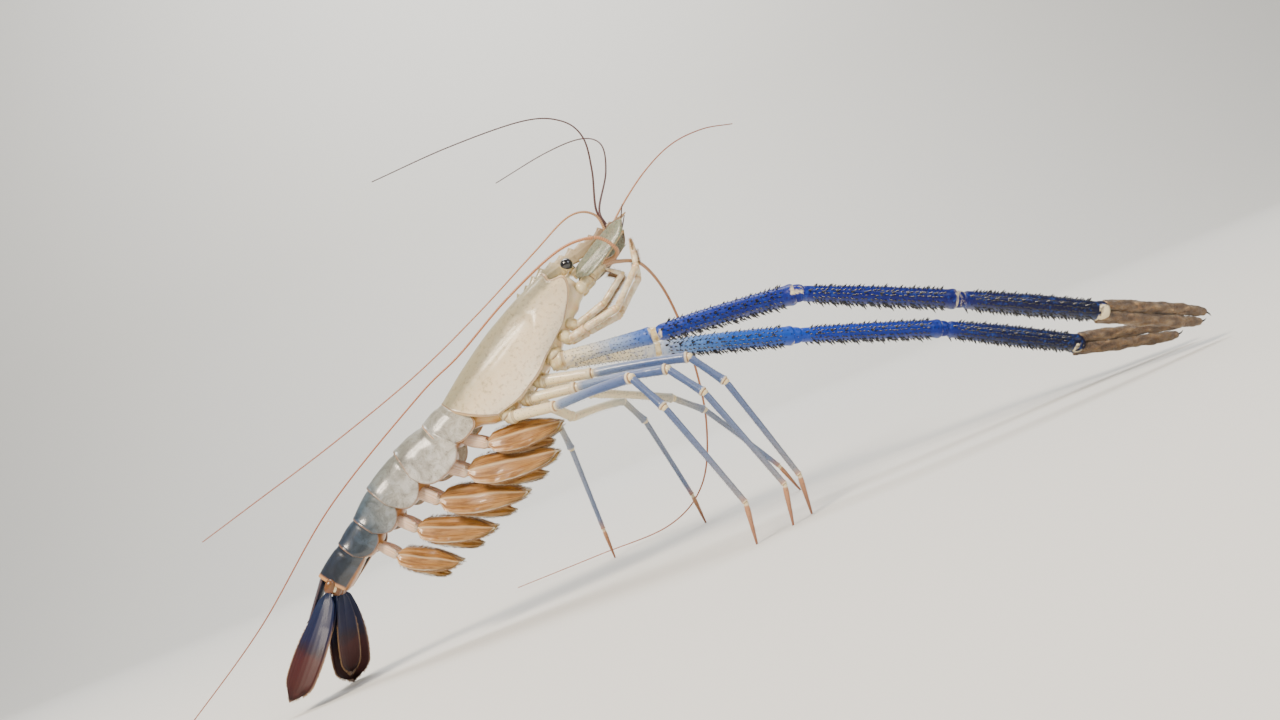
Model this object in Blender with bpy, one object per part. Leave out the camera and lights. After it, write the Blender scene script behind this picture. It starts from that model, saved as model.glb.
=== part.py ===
"""Giant river prawn standing on its walking legs, one solid for each named part of the body.

All working lengths are in millimetres from the tip of the tail fan at floor level, +X to the head,
+Y to the animal's left and +Z up. The finished meshes are written in metres about the middle of
the whole outline.
"""
import math
import random

import bmesh
import bpy
from mathutils import Matrix, Vector

MM = 0.001
GAP = 0.3                       # clearance between two nodes that meet
ASSEMBLY = "giant_river_prawn"

# Body, from the tail end forward: length and pitch of the back in each part
TAIL_ROOT = (25.0, 65.0)        # x and height of the rear edge of the sixth segment's back
TAIL_PITCH = 45.0
SEGMENTS = (
    # name, length, pitch, rear width, front width, side plate depth, belly depth
    ("abdomen_6", 23.5, 37.0, 15.0, 17.0, 17.5, 15.5),
    ("abdomen_5", 16.5, 38.0, 19.5, 19.0, 20.5, 15.5),
    ("abdomen_4", 19.5, 43.0, 22.5, 22.0, 24.5, 16.5),
    ("abdomen_3", 25.0, 31.0, 27.5, 26.5, 28.0, 18.0),
    ("abdomen_2", 21.0, 21.0, 31.0, 31.0, 31.0, 20.0),
    ("abdomen_1", 14.0, 29.0, 28.5, 28.0, 25.0, 19.0),
)
# Forward sweep of each boundary at SWEEP_DEPTH below the back, from the tail end forward
SWEEPS = (0.0, -1.0, -2.0, -3.0, -5.0, 4.0, 13.0)
SWEEP_DEPTH = 28.0
LOBE = ((0.0, 0.76), (0.22, 0.95), (0.5, 1.0), (0.78, 0.95), (1.0, 0.76))
PLATE_STEP = 0.6                # rise of each plate's rear edge over the one behind it
WALL = 1.6                      # thickness of the side plates
LEVELS = 5                      # outline points on each side of a body section

# Carapace
CARAPACE_LENGTH = 94.0
CARAPACE_PITCH = 32.0
CARAPACE_STATIONS = (
    # place along the back, width, depth, roof over the underside, fall of the back line
    (0.0, 31.0, 31.5, 21.0, 1.0),
    (0.15, 35.5, 35.5, 21.0, -0.6),
    (0.38, 38.5, 37.0, 21.0, -2.0),
    (0.62, 37.5, 36.5, 19.0, -1.8),
    (0.82, 32.0, 33.5, 13.5, 0.0),
    (1.0, 25.0, 30.0, 8.5, 2.4),
)
CHEEK_DEPTH = 14.0              # depth of the foremost point of the carapace edge
CHEEK_AHEAD = 6.0
JAW_BACK = 26.0                 # how far the edge runs back again below the cheek
JAW_DEPTH = 17.0

# Rostrum: place along the body line, depth below it, half height, half thickness
ROSTRUM = (
    (76.0, 2.2, 2.8, 1.5), (94.0, 4.6, 4.4, 1.6), (110.0, 9.6, 3.9, 1.3),
    (128.0, 14.8, 2.9, 0.95), (143.0, 18.4, 1.8, 0.65), (151.5, 19.6, 0.5, 0.35),
)
UPPER_TEETH, LOWER_TEETH = (70.0, 141.0, 12), (102.0, 144.0, 9)     # first, last and count
TOOTH, TOOTH_ROOT, TOOTH_LEAN = 3.0, 1.6, 38
CHEEK_SPINES = (
    # place, distance from the middle, depth, turn outward, length, radius
    (95.0, 11.0, 16.0, 0, 8.0, 1.3), (82.0, 12.6, 19.0, 24, 5.5, 1.2),
)

# How deep the root of each limb reaches into the body, and how much wider than the limb it is
SWIMMERET_STUB = 5.0
FAN_STUB, EYE_STUB, ANTENNULE_STUB = (0.4, 7.0), (0.1, 4.5), (0.2, 5.0)
ANTENNA_STUB, SCALE_STUB = (0.2, 6.0), (0.6, 6.0)
JAW_FOOT_STUB, PINCER_LEG_STUB = (0.3, 7.0), (0.5, 7.0)

# Underside of the head and thorax: place, half width, top depth, bottom depth
UNDERSIDE = (
    (13.0, 10.5, 21.8, 35.0), (22.0, 12.0, 21.6, 38.0), (40.0, 12.2, 21.6, 39.0),
    (58.0, 11.6, 21.0, 38.0), (72.0, 9.6, 18.4, 36.0), (84.0, 8.2, 14.6, 32.5),
    (94.0, 7.2, 12.2, 30.0), (99.0, 6.8, 11.4, 28.5),
)

# Walking legs: true lengths of ischium, merus, carpus, propodus and dactyl, and their radii
LEG_LENGTHS = (30.0, 56.0, 24.0, 62.0, 21.0)
LEG_RADII = ((3.4, 3.1, 3.0), (2.7, 2.5, 2.8), (2.1, 2.0, 2.4), (1.8, 1.6, 1.5), (1.35, 1.1, 0.6))
FLOOR = 0.0                     # level of the six soles and of the tail fan's tip
# side, place and depth of the root, then azimuth and elevation of each length
LEGS = (
    ("leg_3_right", -1, 45.5, 40.0, (-16, -14), (-18, -13), (-22, -45), (-10, -64), (0, -85)),
    ("leg_4_right", -1, 33.0, 40.0, (-20, -9), (-26, -11), (-30, -55), (-14, -74), (0, -104)),
    ("leg_5_right", -1, 20.0, 38.5, (-30, -9), (-38, -3), (-35, -60), (-12, -72), (0, -98)),
    ("leg_3_left", 1, 45.5, 40.0, (28, -32), (36, -20), (34, -32), (26, -52), (20, -65)),
    ("leg_4_left", 1, 33.0, 40.0, (50, -35), (58, 0), (60, -50), (62, -72), (60, -85)),
    ("leg_5_left", 1, 20.0, 38.5, (75, -38), (84, 10), (88, -55), (95, -75), (90, -88)),
)
LEG_ROOT_Y = 10.5
COXA = (8.5, 4.2, 4.1)          # length and the radii at the flank and at the leg

# Great claws: true lengths of ischium, merus, carpus, palm and fingers
CLAW_LENGTHS = (54.0, 82.0, 88.0, 82.0, 60.0)
CLAW_RADII = ((4.4, 4.2, 4.9), (4.7, 5.3, 5.6), (4.3, 5.0, 5.3), (4.9, 5.7, 5.2))
CLAW_ROOT = (61.0, 9.2, 41.2)   # place, distance from the middle and depth
CLAWS = (
    ("right", -1, (-6, -7.5), (-8, -6.5), (2, -24), (6, -26), (8, -24)),
    ("left", 1, (4, -14), (4, -16), (4, -19), (3, -28), (-2, -14)),
)
CLAW_STUB = (4.6, 8.0)          # radius and depth of the root that the body gives each claw
KNUCKLE = ((6.0, 5.2), (0.0, 5.7))      # distance behind the palm's end, and radius
PALM_SHORT = 2.5                # how far the palm ends before its knuckle's face
FINGER_RADIUS = 3.1
FIXED_FINGER = (
    # distance past the palm, share of the fingers' spacing, share of the radius
    (-4.0, 1.0, 0.9), (12.0, 1.0, 1.0), (36.0, 1.0, 0.97), (52.0, 0.84, 0.78), (60.0, 0.45, 0.2),
)
MOVING_FINGER = (
    (0.3, 1.0, 0.85), (12.0, 1.0, 1.0), (38.0, 1.0, 0.97), (54.0, 0.84, 0.78), (63.0, 0.4, 0.2),
)
SPINE_ROOT = 1.2                # how deep each spine is set in its limb
SPINE_RADIUS = 0.85
SPINE_ROWS = (15, 75, 135, 195, 245, 300)       # angles of the rows round the limb, up is 90
# Spines in a row, their length and their seed on the merus, the carpus and the palm
SPINES = ((9, 2.6, 11), (10, 2.6, 12), (10, 2.2, 13))

# Tail fan: the telson's rings as share of its length, half width and half height
TELSON_ROOT = 2.6               # depth below the back
TELSON_LENGTH = 49.0
TELSON = ((0.0, 5.6, 2.1), (0.3, 5.0, 1.9), (0.65, 3.7, 1.5), (0.92, 2.1, 1.0), (1.0, 0.8, 0.6))
FAN_SIDES = (("right", -1, 52.0, 14.0), ("left", 1, 71.0, 0.0))     # its pitch and added roll
UROPODS = (
    # part, distance from the middle, depth, splay, roll, length, width, rib
    ("outer", 7.0, 9.5, 16.0, 42.0, 62.0, 24.0, 1.5),
    ("inner", 4.0, 12.6, 9.0, 30.0, 52.0, 15.0, 1.4),
)
UROPOD_BACK = 3.0               # how far behind the sixth segment the side blades start
UROPOD_THICK, UROPOD_BLOOM, UROPOD_LEAN = 0.9, 1.3, 2.0
FAN_END = (0.42, 0.34)          # roundness of a blunt leaf, and half width of its end for its width

# Swimmerets, from the first segment's to the fifth's
SWIMMERETS = (
    # segment, stalk's length, radius and pitch, leaf's length, width and pitch
    (5, 15.0, 2.8, -30, 45.0, 19.0, -4),
    (4, 16.0, 3.0, -36, 54.0, 22.0, -8),
    (3, 16.0, 2.9, -42, 52.0, 21.0, -15),
    (2, 15.0, 2.5, -44, 46.0, 18.0, -20),
    (1, 13.0, 2.1, -46, 38.0, 15.0, -26),
)
SWIMMERET_Y = 0.42              # share of the segment's half width at which a stalk stands
SWIMMERET_DROP = 3.2            # how far below the belly it starts
LEAF_THICK, LEAF_RIB, LEAF_FALL = 0.7, 1.3, -2.0

# Head. Places are along the head's line, distances from the middle, and depths below the back
EYE_ROOT = (101.5, 4.8, 13.4)
EYE_STALK = ((0.3, 1.8), (4.0, 2.3), (6.0, 3.0))       # distance and radius
EYE_RADIUS, EYE_REACH = 3.7, 7.6
ANTENNULE_ROOT, ANTENNULE_TIP = (104.0, 3.2, 17.6), (134.0, 5.0, 21.5)
ANTENNULE_LENGTHS = (15.0, 8.0)
ANTENNULE_RADII = ((2.2, 2.5, 2.5), (2.1, 2.1, 2.2), (1.8, 1.8, 1.9))
ANTENNULE_POST = 6.0            # stump that the separate outer whip stands on
FINE_WHIP, SHORT_WHIP = (0.9, 0.6, 0.45, 0.4, 0.3), (0.9, 0.5, 0.3)     # radii from root to tip
INNER_WHIPS = {
    "right": ((246, -12, 196), (232, -19, 199), (205, -22, 186), (165, -25, 166), (121, -27, 147),
              (66, -29, 129), (16, -31, 115), (-16, -33, 106)),
    "left": ((258, 13, 196), (282, 24, 216), (306, 38, 230), (330, 54, 236), (352, 70, 236)),
}
OUTER_WHIPS = {
    "right": ((248, -9, 200), (254, -14, 220), (256, -19, 238), (248, -23, 250), (228, -26, 257),
              (185, -29, 258), (139, -32, 255)),
    "left": ((250, 10, 203), (262, 18, 224), (266, 26, 243), (256, 36, 254), (232, 46, 257),
             (196, 56, 254)),
}
ANTENNA_ROOT = (102.0, 5.2, 25.6)
ANTENNA_LENGTHS = (8.0, 9.0)
ANTENNA_RADII = ((3.4, 3.4, 3.3), (2.9, 2.6, 2.4))
LONG_WHIP = (1.5, 1.15, 0.95, 0.8, 0.65, 0.5, 0.4, 0.3)
# Control points of the long whips, first along the head's line and then free in the body's frame
LONG_WHIPS_NEAR = {
    "right": ((126, -12, 31.5), (129, -21.5, 30), (126, -26, 18), (108, -25.5, 6), (70, -25, -1),
              (30, -24, -4)),
    "left": ((127, 13, 31),),
}
LONG_WHIPS_FREE = {
    "right": ((118, -24, 136), (52, -25, 98), (-6, -27, 51), (-66, -30, 12)),
    "left": ((262, 30, 166), (270, 50, 144), (271, 72, 106), (264, 94, 62), (246, 118, 24),
             (214, 140, 5), (160, 154, 3.0), (96, 158, 2.6)),
}
BASE_KNOTS = 3                  # control points of each long whip that stay with its base
SCALE_ROOT = (103.5, 10.8, 21.0)
SCALE_LENGTH, SCALE_WIDTH, SCALE_THICK, SCALE_RIB = 42.0, 16.6, 0.8, 1.6
JAW_FOOT_ROOT = (80.0, 5.0, 36.0)
JAW_FOOT_LENGTHS = (22.0, 20.0, 9.0)
JAW_FOOT_RADII = ((2.7, 2.3, 2.1), (2.0, 1.8, 1.7), (1.5, 1.3, 1.0))
PINCER_LEG_ROOT = (73.0, 8.4, 37.6)
PINCER_LEG_LENGTHS = (34.0, 26.0, 18.0)
PINCER_LEG_RADII = ((2.5, 2.2, 2.3), (1.9, 1.8, 2.0), (1.7, 1.7, 0.7))

MATERIALS = {
    "shell": ((0.80, 0.76, 0.66), 0.25),
    "plate": ((0.55, 0.58, 0.58), 0.3),
    "fan": ((0.04, 0.05, 0.09), 0.3),
    "claw": ((0.03, 0.06, 0.36), 0.35),
    "fur": ((0.16, 0.10, 0.06), 0.9),
    "leg": ((0.62, 0.64, 0.68), 0.4),
    "feeler": ((0.62, 0.32, 0.16), 0.4),
    "swimmer": ((0.60, 0.32, 0.12), 0.4),
    "eye": ((0.02, 0.02, 0.02), 0.1),
}

for old in list(bpy.data.objects):
    bpy.data.objects.remove(old)

assembly = bpy.data.collections.new(ASSEMBLY)
bpy.context.scene.collection.children.link(assembly)
finished = []


# Meshes and tools
def new_object(bm):
    """A linked object that owns the given mesh."""
    mesh = bpy.data.meshes.new("piece")
    bm.to_mesh(mesh)
    bm.free()
    ob = bpy.data.objects.new("piece", mesh)
    bpy.context.scene.collection.objects.link(ob)
    return ob


def evaluated(ob):
    """Apply an object's modifiers or curve settings and return its mesh."""
    bpy.context.view_layer.update()
    graph = bpy.context.evaluated_depsgraph_get()
    mesh = bpy.data.meshes.new_from_object(ob.evaluated_get(graph))
    bpy.data.objects.remove(ob)
    return mesh


def tube(stations, ring=2):
    """Round rod through (point, radius) stations with closed ends; ring 1 has 6 sides, 2 has 8."""
    curve = bpy.data.curves.new("rod", "CURVE")
    curve.dimensions = "3D"
    curve.bevel_depth = 1.0
    curve.bevel_resolution = ring
    curve.use_fill_caps = True
    line = curve.splines.new("POLY")
    line.points.add(len(stations) - 1)
    for knot, (point, radius) in zip(line.points, stations):
        knot.co = (*point, 1.0)
        knot.radius = radius
    ob = bpy.data.objects.new("rod", curve)
    bpy.context.scene.collection.objects.link(ob)
    bm = bmesh.new()
    bm.from_mesh(evaluated(ob))
    bmesh.ops.remove_doubles(bm, verts=bm.verts, dist=0.001)
    bmesh.ops.recalc_face_normals(bm, faces=bm.faces)
    return bm


def trim(bm, point, outward):
    """Cut a mesh flat by a plane, drop what lies outward of it and close the cut."""
    everything = bm.verts[:] + bm.edges[:] + bm.faces[:]
    bmesh.ops.bisect_plane(bm, geom=everything, plane_co=point, plane_no=outward, clear_outer=True)
    rim = [edge for edge in bm.edges if edge.is_boundary]
    bmesh.ops.holes_fill(bm, edges=rim)
    bmesh.ops.recalc_face_normals(bm, faces=bm.faces)


def largest_only(mesh):
    """Keep the largest closed surface of a mesh."""
    bm = bmesh.new()
    bm.from_mesh(mesh)
    left = set(bm.verts)
    groups = []
    while left:
        stack = [left.pop()]
        group = set(stack)
        while stack:
            for edge in stack.pop().link_edges:
                for vert in edge.verts:
                    if vert in left:
                        left.remove(vert)
                        group.add(vert)
                        stack.append(vert)
        groups.append(group)
    keep = max(groups, key=len)
    bmesh.ops.delete(bm, geom=[v for v in bm.verts if v not in keep], context="VERTS")
    bm.to_mesh(mesh)
    bm.free()


def fuse(base, parts, solver="EXACT"):
    """Join closed solids into the base solid by one Boolean union."""
    if not parts:
        return base
    ob = new_object(base)
    group = bpy.data.collections.new("tools")
    bpy.context.scene.collection.children.link(group)
    for part in parts:
        group.objects.link(new_object(part))
    union = ob.modifiers.new("union", "BOOLEAN")
    union.operation = "UNION"
    union.operand_type = "COLLECTION"
    union.collection = group
    union.solver = solver
    tools = list(group.objects)
    mesh = evaluated(ob)
    for tool in tools:
        bpy.data.objects.remove(tool)
    bpy.data.collections.remove(group)
    largest_only(mesh)
    bm = bmesh.new()
    bm.from_mesh(mesh)
    return bm


def finish(bm, name, look):
    """Name a finished solid, give it its material and list it."""
    mesh = bpy.data.meshes.new(name)
    bmesh.ops.triangulate(bm, faces=bm.faces)
    bm.to_mesh(mesh)
    bm.free()
    colour, rough = MATERIALS[look]
    material = bpy.data.materials.new(name)
    material.use_nodes = True
    shader = material.node_tree.nodes["Principled BSDF"]
    shader.inputs["Base Color"].default_value = (*colour, 1.0)
    shader.inputs["Roughness"].default_value = rough
    mesh.materials.append(material)
    ob = bpy.data.objects.new(name, mesh)
    assembly.objects.link(ob)
    finished.append(ob)


# Places on the body
def body_frames():
    """Frames (x, height, pitch) at every boundary of the abdomen, the last at the carapace."""
    x, z = TAIL_ROOT
    frames = [(x, z, TAIL_PITCH)]
    for row, after in zip(SEGMENTS, SEGMENTS[1:] + (("", 0, CARAPACE_PITCH),)):
        pitch = math.radians(row[2])
        x += row[1] * math.cos(pitch)
        z += row[1] * math.sin(pitch)
        frames.append((x, z, (row[2] + after[2]) / 2))
    frames[-1] = (x, z, CARAPACE_PITCH)
    return frames


def at(frame, ahead, y, depth):
    """World point at a distance ahead of a frame, aside of it and below its back line."""
    x, z, pitch = frame
    c, s = math.cos(math.radians(pitch)), math.sin(math.radians(pitch))
    return Vector((x + ahead * c + depth * s, y, z + ahead * s - depth * c))


FRAMES = body_frames()
HEAD = FRAMES[-1]


def heading(azimuth, elevation):
    """Unit vector from an azimuth to the left of forward and an elevation, in degrees."""
    a, e = math.radians(azimuth), math.radians(elevation)
    return Vector((math.cos(e) * math.cos(a), math.cos(e) * math.sin(a), math.sin(e)))


def chain(root, lengths, angles):
    """Points of a limb from its root along lengths at the given azimuths and elevations."""
    points = [root]
    for length, (azimuth, elevation) in zip(lengths, angles):
        points.append(points[-1] + heading(azimuth, elevation) * length)
    return points


def smooth(points, steps):
    """Catmull-Rom line through control points."""
    line = [2 * points[0] - points[1], *points, 2 * points[-1] - points[-2]]
    out = []
    for i in range(1, len(line) - 2):
        p0, p1, p2, p3 = line[i - 1:i + 3]
        for k in range(steps):
            t = k / steps
            out.append(0.5 * (2 * p1 + (p2 - p0) * t + (2 * p0 - 5 * p1 + 4 * p2 - p3) * t ** 2
                              + (3 * p1 - p0 - 3 * p2 + p3) * t ** 3))
    return out + [points[-1]]


def tapered(points, radii):
    """Stations along a line with the radius eased between equally spaced values."""
    out = []
    for i, point in enumerate(points):
        u = i / (len(points) - 1) * (len(radii) - 1)
        k = min(int(u), len(radii) - 2)
        out.append((point, radii[k] + (radii[k + 1] - radii[k]) * (u - k)))
    return out


# Body sections
def arch(width, depth, roof, bulge, drop=0.0):
    """Section of a shell plate with flaps at its sides, as (y, depth) from right to left edge."""
    levels = []
    for i in range(LEVELS + 1):
        a = math.radians(90 * i / LEVELS)
        d = 1 - math.cos(a) ** 0.85 if i < LEVELS else 1.0
        y = width / 2 * math.sin(a) ** 0.85 * (1 - 0.1 * d ** 4)
        levels.append((y, drop + (depth - drop) * d))
    edge = levels[-1][0] - WALL
    above = max(i for i in range(LEVELS) if levels[i][1] < roof)
    (y0, d0), (y1, d1) = levels[above:above + 2]
    corner = y0 + (y1 - y0) * (roof - d0) / (d1 - d0) - WALL
    outer = [(-y, d) for y, d in reversed(levels)] + levels[1:]
    inner = [(edge, depth), (corner, roof), (0.0, roof + bulge), (-corner, roof), (-edge, depth)]
    return outer + inner


def arch_cap(ring):
    """Faces that close an arch ring in level strips, so that two neighbours close alike."""
    top, edge = LEVELS, 2 * LEVELS
    roof = ring[edge + 2][1]
    m = max(i for i in range(1, LEVELS) if ring[top + i][1] < roof)
    faces = [(top, top - 1, top + 1)]
    faces += [(top - i, top - i - 1, top + i + 1, top + i) for i in range(1, m)]
    faces.append((top - m, edge + 4, edge + 3, edge + 2, top + m))
    faces.append((*range(top + m, edge + 1), edge + 1, edge + 2))
    faces.append((*range(top - m, -1, -1), edge + 5, edge + 4))
    return faces


def loft(rings, first_cap, last_cap):
    """Closed solid through rings of equal length."""
    bm = bmesh.new()
    rows = [[bm.verts.new(point) for point in ring] for ring in rings]
    for a, b in zip(rows, rows[1:]):
        for i in range(len(a)):
            j = (i + 1) % len(a)
            bm.faces.new((a[i], a[j], b[j], b[i]))
    for row, cap in ((rows[0], first_cap), (rows[-1], last_cap)):
        for face in cap:
            bm.faces.new([row[i] for i in face])
    bmesh.ops.recalc_face_normals(bm, faces=bm.faces)
    return bm


def sweep(index, depth):
    """Forward offset of a boundary at a depth."""
    return SWEEPS[index] * (depth / SWEEP_DEPTH) ** 2


# Abdomen: six ring plates, each with the stubs of its swimmerets or tail fan
def abdomen_segment(index, stubs):
    name, _, _, rear, front, depth, belly = SEGMENTS[index]
    a, b = FRAMES[index], FRAMES[index + 1]
    sections, rings = [], []
    for t, lobe in LOBE:
        if index == 0:
            lobe = 1.0
        frame = tuple(a[k] + (b[k] - a[k]) * t for k in range(3))
        rise = PLATE_STEP * (2 * t - 1) - 0.8 * math.sin(math.pi * t)
        section = arch(rear + (front - rear) * t, depth * lobe, belly, 1.2, rise)
        shift = GAP / 2 * (1 - 2 * t)
        sections.append(section)
        rings.append([at(frame, shift + sweep(index, d) * (1 - t) + sweep(index + 1, d) * t, y, d)
                      for y, d in section])
    base = loft(rings, arch_cap(sections[0]), arch_cap(sections[-1]))
    finish(fuse(base, stubs), name, "plate")


# Carapace with its beak
def front_edge(depth):
    """Forward offset of the carapace's front edge at a depth."""
    if depth < CHEEK_DEPTH:
        return CHEEK_AHEAD * (depth / CHEEK_DEPTH) ** 2
    return CHEEK_AHEAD - JAW_BACK * ((depth - CHEEK_DEPTH) / JAW_DEPTH) ** 2


def rostrum_at(place):
    """Depth, half height and half thickness of the beak at a place along the body line."""
    for a, b in zip(ROSTRUM, ROSTRUM[1:]):
        if place <= b[0]:
            t = (place - a[0]) / (b[0] - a[0])
            return [a[k] + (b[k] - a[k]) * t for k in (1, 2, 3)]
    return list(ROSTRUM[-1][1:])


def cone(point, direction, length, radius, flat=1.0, sides=4):
    """Pointed spine standing on a point, its root sunk behind it."""
    bm = bmesh.new()
    turn = direction.to_track_quat("Z", "Y").to_matrix().to_4x4()
    place = (Matrix.Translation(point + direction * length / 2) @ turn
             @ Matrix.Scale(flat, 4, (1, 0, 0)) @ Matrix.Rotation(math.radians(45), 4, "Z"))
    bmesh.ops.create_cone(bm, cap_ends=True, segments=sides, radius1=radius, radius2=0.0,
                          depth=length, matrix=place)
    return bm


def tooth(place, sign):
    """One tooth of the beak, leaning forward."""
    depth, high, thick = rostrum_at(max(place, ROSTRUM[0][0]))
    depth = depth - high if sign > 0 else depth + high
    lean = heading(0, CARAPACE_PITCH + sign * TOOTH_LEAN)
    size = TOOTH * (0.75 + 0.25 * math.sin(place * 0.1))
    point = at(HEAD, place, 0, depth) - lean * TOOTH_ROOT
    return cone(point, lean, size + TOOTH_ROOT, TOOTH / 2, flat=min(0.8, thick))


def carapace():
    rings, sections = [], []
    for t, width, depth, roof, drop in CARAPACE_STATIONS:
        section = arch(width, depth, roof, 0.0, drop)
        sections.append(section)
        shift = GAP / 2 if t == 0 else 0.0
        rings.append([
            at(HEAD, shift + sweep(6, d) * (1 - t) + (CARAPACE_LENGTH + front_edge(d)) * t, y, d)
            for y, d in section])
    base = loft(rings, arch_cap(sections[0]), arch_cap(sections[-1]))
    rings = []
    for place, depth, high, thick in ROSTRUM:
        ring = ((0.35, -1.0), (1.0, -0.3), (1.0, 0.3), (0.35, 1.0))
        ring += tuple((-y, -d) for y, d in ring)
        rings.append([at(HEAD, place, y * thick, depth + d * high) for y, d in ring])
    parts = [loft(rings, [range(8)], [range(8)])]
    for (first, last, count), sign in ((UPPER_TEETH, 1), (LOWER_TEETH, -1)):
        parts += [tooth(first + (last - first) * i / (count - 1), sign) for i in range(count)]
    for side in (-1, 1):
        for place, y, depth, aside, length, radius in CHEEK_SPINES:
            parts.append(cone(at(HEAD, place, side * y, depth), heading(side * aside, CARAPACE_PITCH),
                              length, radius))
    finish(fuse(base, parts), "carapace", "shell")


# Underside of the thorax and head, with a stub for every limb that grows from it
def oval(half_width, top, bottom, count=12):
    """Closed rounded section as (y, depth)."""
    out = []
    for i in range(count):
        a = 2 * math.pi * i / count
        c, s = math.cos(a), math.sin(a)
        out.append((half_width * math.copysign(abs(s) ** 0.7, s),
                    (top + bottom) / 2 + (bottom - top) / 2 * math.copysign(abs(c) ** 0.7, c)))
    return out


def stub(root, direction, radius, inside):
    """Short root on the body that a limb stands on."""
    return tube([(root - direction * inside, radius), (root, radius)], 1)


def underside(stubs):
    rings = [[at(HEAD, place, y, d) for y, d in oval(half, top, bottom)]
             for place, half, top, bottom in UNDERSIDE]
    base = loft(rings, [range(12)], [range(12)])
    finish(fuse(base, stubs), "thorax_underside", "shell")


# Limbs
def jointed(points, radii, notch=0.84):
    """Stations along a limb, each length full at its ends and drawn in at its joints."""
    out = []
    for i, (a, b) in enumerate(zip(points, points[1:])):
        start, middle, end = radii[i]
        d = (b - a).normalized()
        if i:
            out.append((a, min(start, radii[i - 1][2]) * notch))
        out.append((a + d * (start * 0.7 if i else 0.0), start))
        out.append(((a + b) / 2, middle))
        out.append((b - d * end * 0.7, end))
    out.append((points[-1], radii[len(points) - 2][2] * notch))
    return out


def joint_plane(before, joint, after):
    """Plane that halves the bend at a joint."""
    return ((joint - before).normalized() + (after - joint).normalized()).normalized()


def limb_part(points, radii, ring, before=None, after=None):
    """Solid of some lengths of a limb, cut by the half planes of the bends where it ends."""
    points = list(points)
    start = (points[1] - points[0]).normalized()
    end = (points[-1] - points[-2]).normalized()
    stations = jointed(points, radii)
    if before is None:
        stations[0] = (points[0] + start * GAP, stations[0][1])
    else:
        reach = radii[0][0] * 1.2
        stations[0] = (points[0] + start * radii[0][0] * 0.5, radii[0][0])
        stations.insert(0, (points[0] - start * reach, radii[0][0] * 0.84))
    if after is not None:
        reach = radii[len(points) - 2][2] * 1.2
        stations[-1] = (points[-1] + end * reach, stations[-1][1])
    bm = tube(stations, ring)
    if before is not None:
        normal = joint_plane(before, points[0], points[1])
        trim(bm, points[0] + normal * GAP / 2, -normal)
    if after is not None:
        normal = joint_plane(points[-2], points[-1], after)
        trim(bm, points[-1] - normal * GAP / 2, normal)
    return bm


def floor_chain(root, lengths, angles):
    """Leg whose last three lengths are swung up or down until the sole is at floor level."""
    low, high = -60.0, 60.0
    for _ in range(40):
        swing = (low + high) / 2
        turned = [(a, e + (swing if k > 1 else 0)) for k, (a, e) in enumerate(angles)]
        points = chain(root, lengths, turned)
        if points[-1].z > FLOOR:
            high = swing
        else:
            low = swing
    return points


def walking_leg(row):
    name, side, place, depth = row[:4]
    root = at(HEAD, place, side * LEG_ROOT_Y, depth)
    points = floor_chain(root, LEG_LENGTHS, row[4:])
    finish(limb_part(points[:3], LEG_RADII[:2], 2, after=points[3]), name + "_upper", "leg")
    toe = (points[-1] - points[-2]).normalized()
    lower = points[2:-1] + [points[-1] + toe * 1.5]
    bm = limb_part(lower, LEG_RADII[2:], 1, before=points[1])
    trim(bm, Vector((0, 0, FLOOR)), Vector((0, 0, -1)))
    finish(bm, name + "_lower", "leg")
    length, thick, thin = COXA
    hip = at(HEAD, place, side * (LEG_ROOT_Y - 1.9), depth - length)
    way = (points[1] - points[0]).normalized()
    return tube([(hip, thick), (root - way * thin, thick), (root - way * 1.2, thin), (root, thin * 0.92)])


# Spines
def spine_rows(a, b, radii, count, length, seed):
    """Rows of spines along one length of a limb, leaning to its far end."""
    rnd = random.Random(seed)
    d = (b - a).normalized()
    side = d.cross(Vector((0, 0, 1))).normalized()
    up = side.cross(d)
    spines = []
    for row, angle in enumerate(SPINE_ROWS):
        for i in range(count):
            t = 0.07 + 0.86 * (i + 0.5 * (row % 2)) / count + rnd.uniform(-0.008, 0.008)
            u = 2 * t
            k = 0 if u < 1 else 1
            radius = radii[k] + (radii[k + 1] - radii[k]) * (u - k)
            turn = math.radians(angle + rnd.uniform(-5, 5))
            out = side * math.cos(turn) + up * math.sin(turn)
            lean = (out + d * 0.55).normalized()
            size = length * rnd.uniform(0.8, 1.15) * (1.25 if math.sin(turn) < -0.3 else 0.9)
            point = a + d * t * (b - a).length + out * radius - lean * SPINE_ROOT
            spines.append(cone(point, lean, size + SPINE_ROOT, SPINE_RADIUS))
    return spines


def finger(palm_end, d, spacing, stations):
    """One finger of a claw through its stations, spaced off the claw's middle line."""
    return tube([(palm_end + d * ahead + spacing * share, FINGER_RADIUS * radius)
                 for ahead, share, radius in stations])


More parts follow.
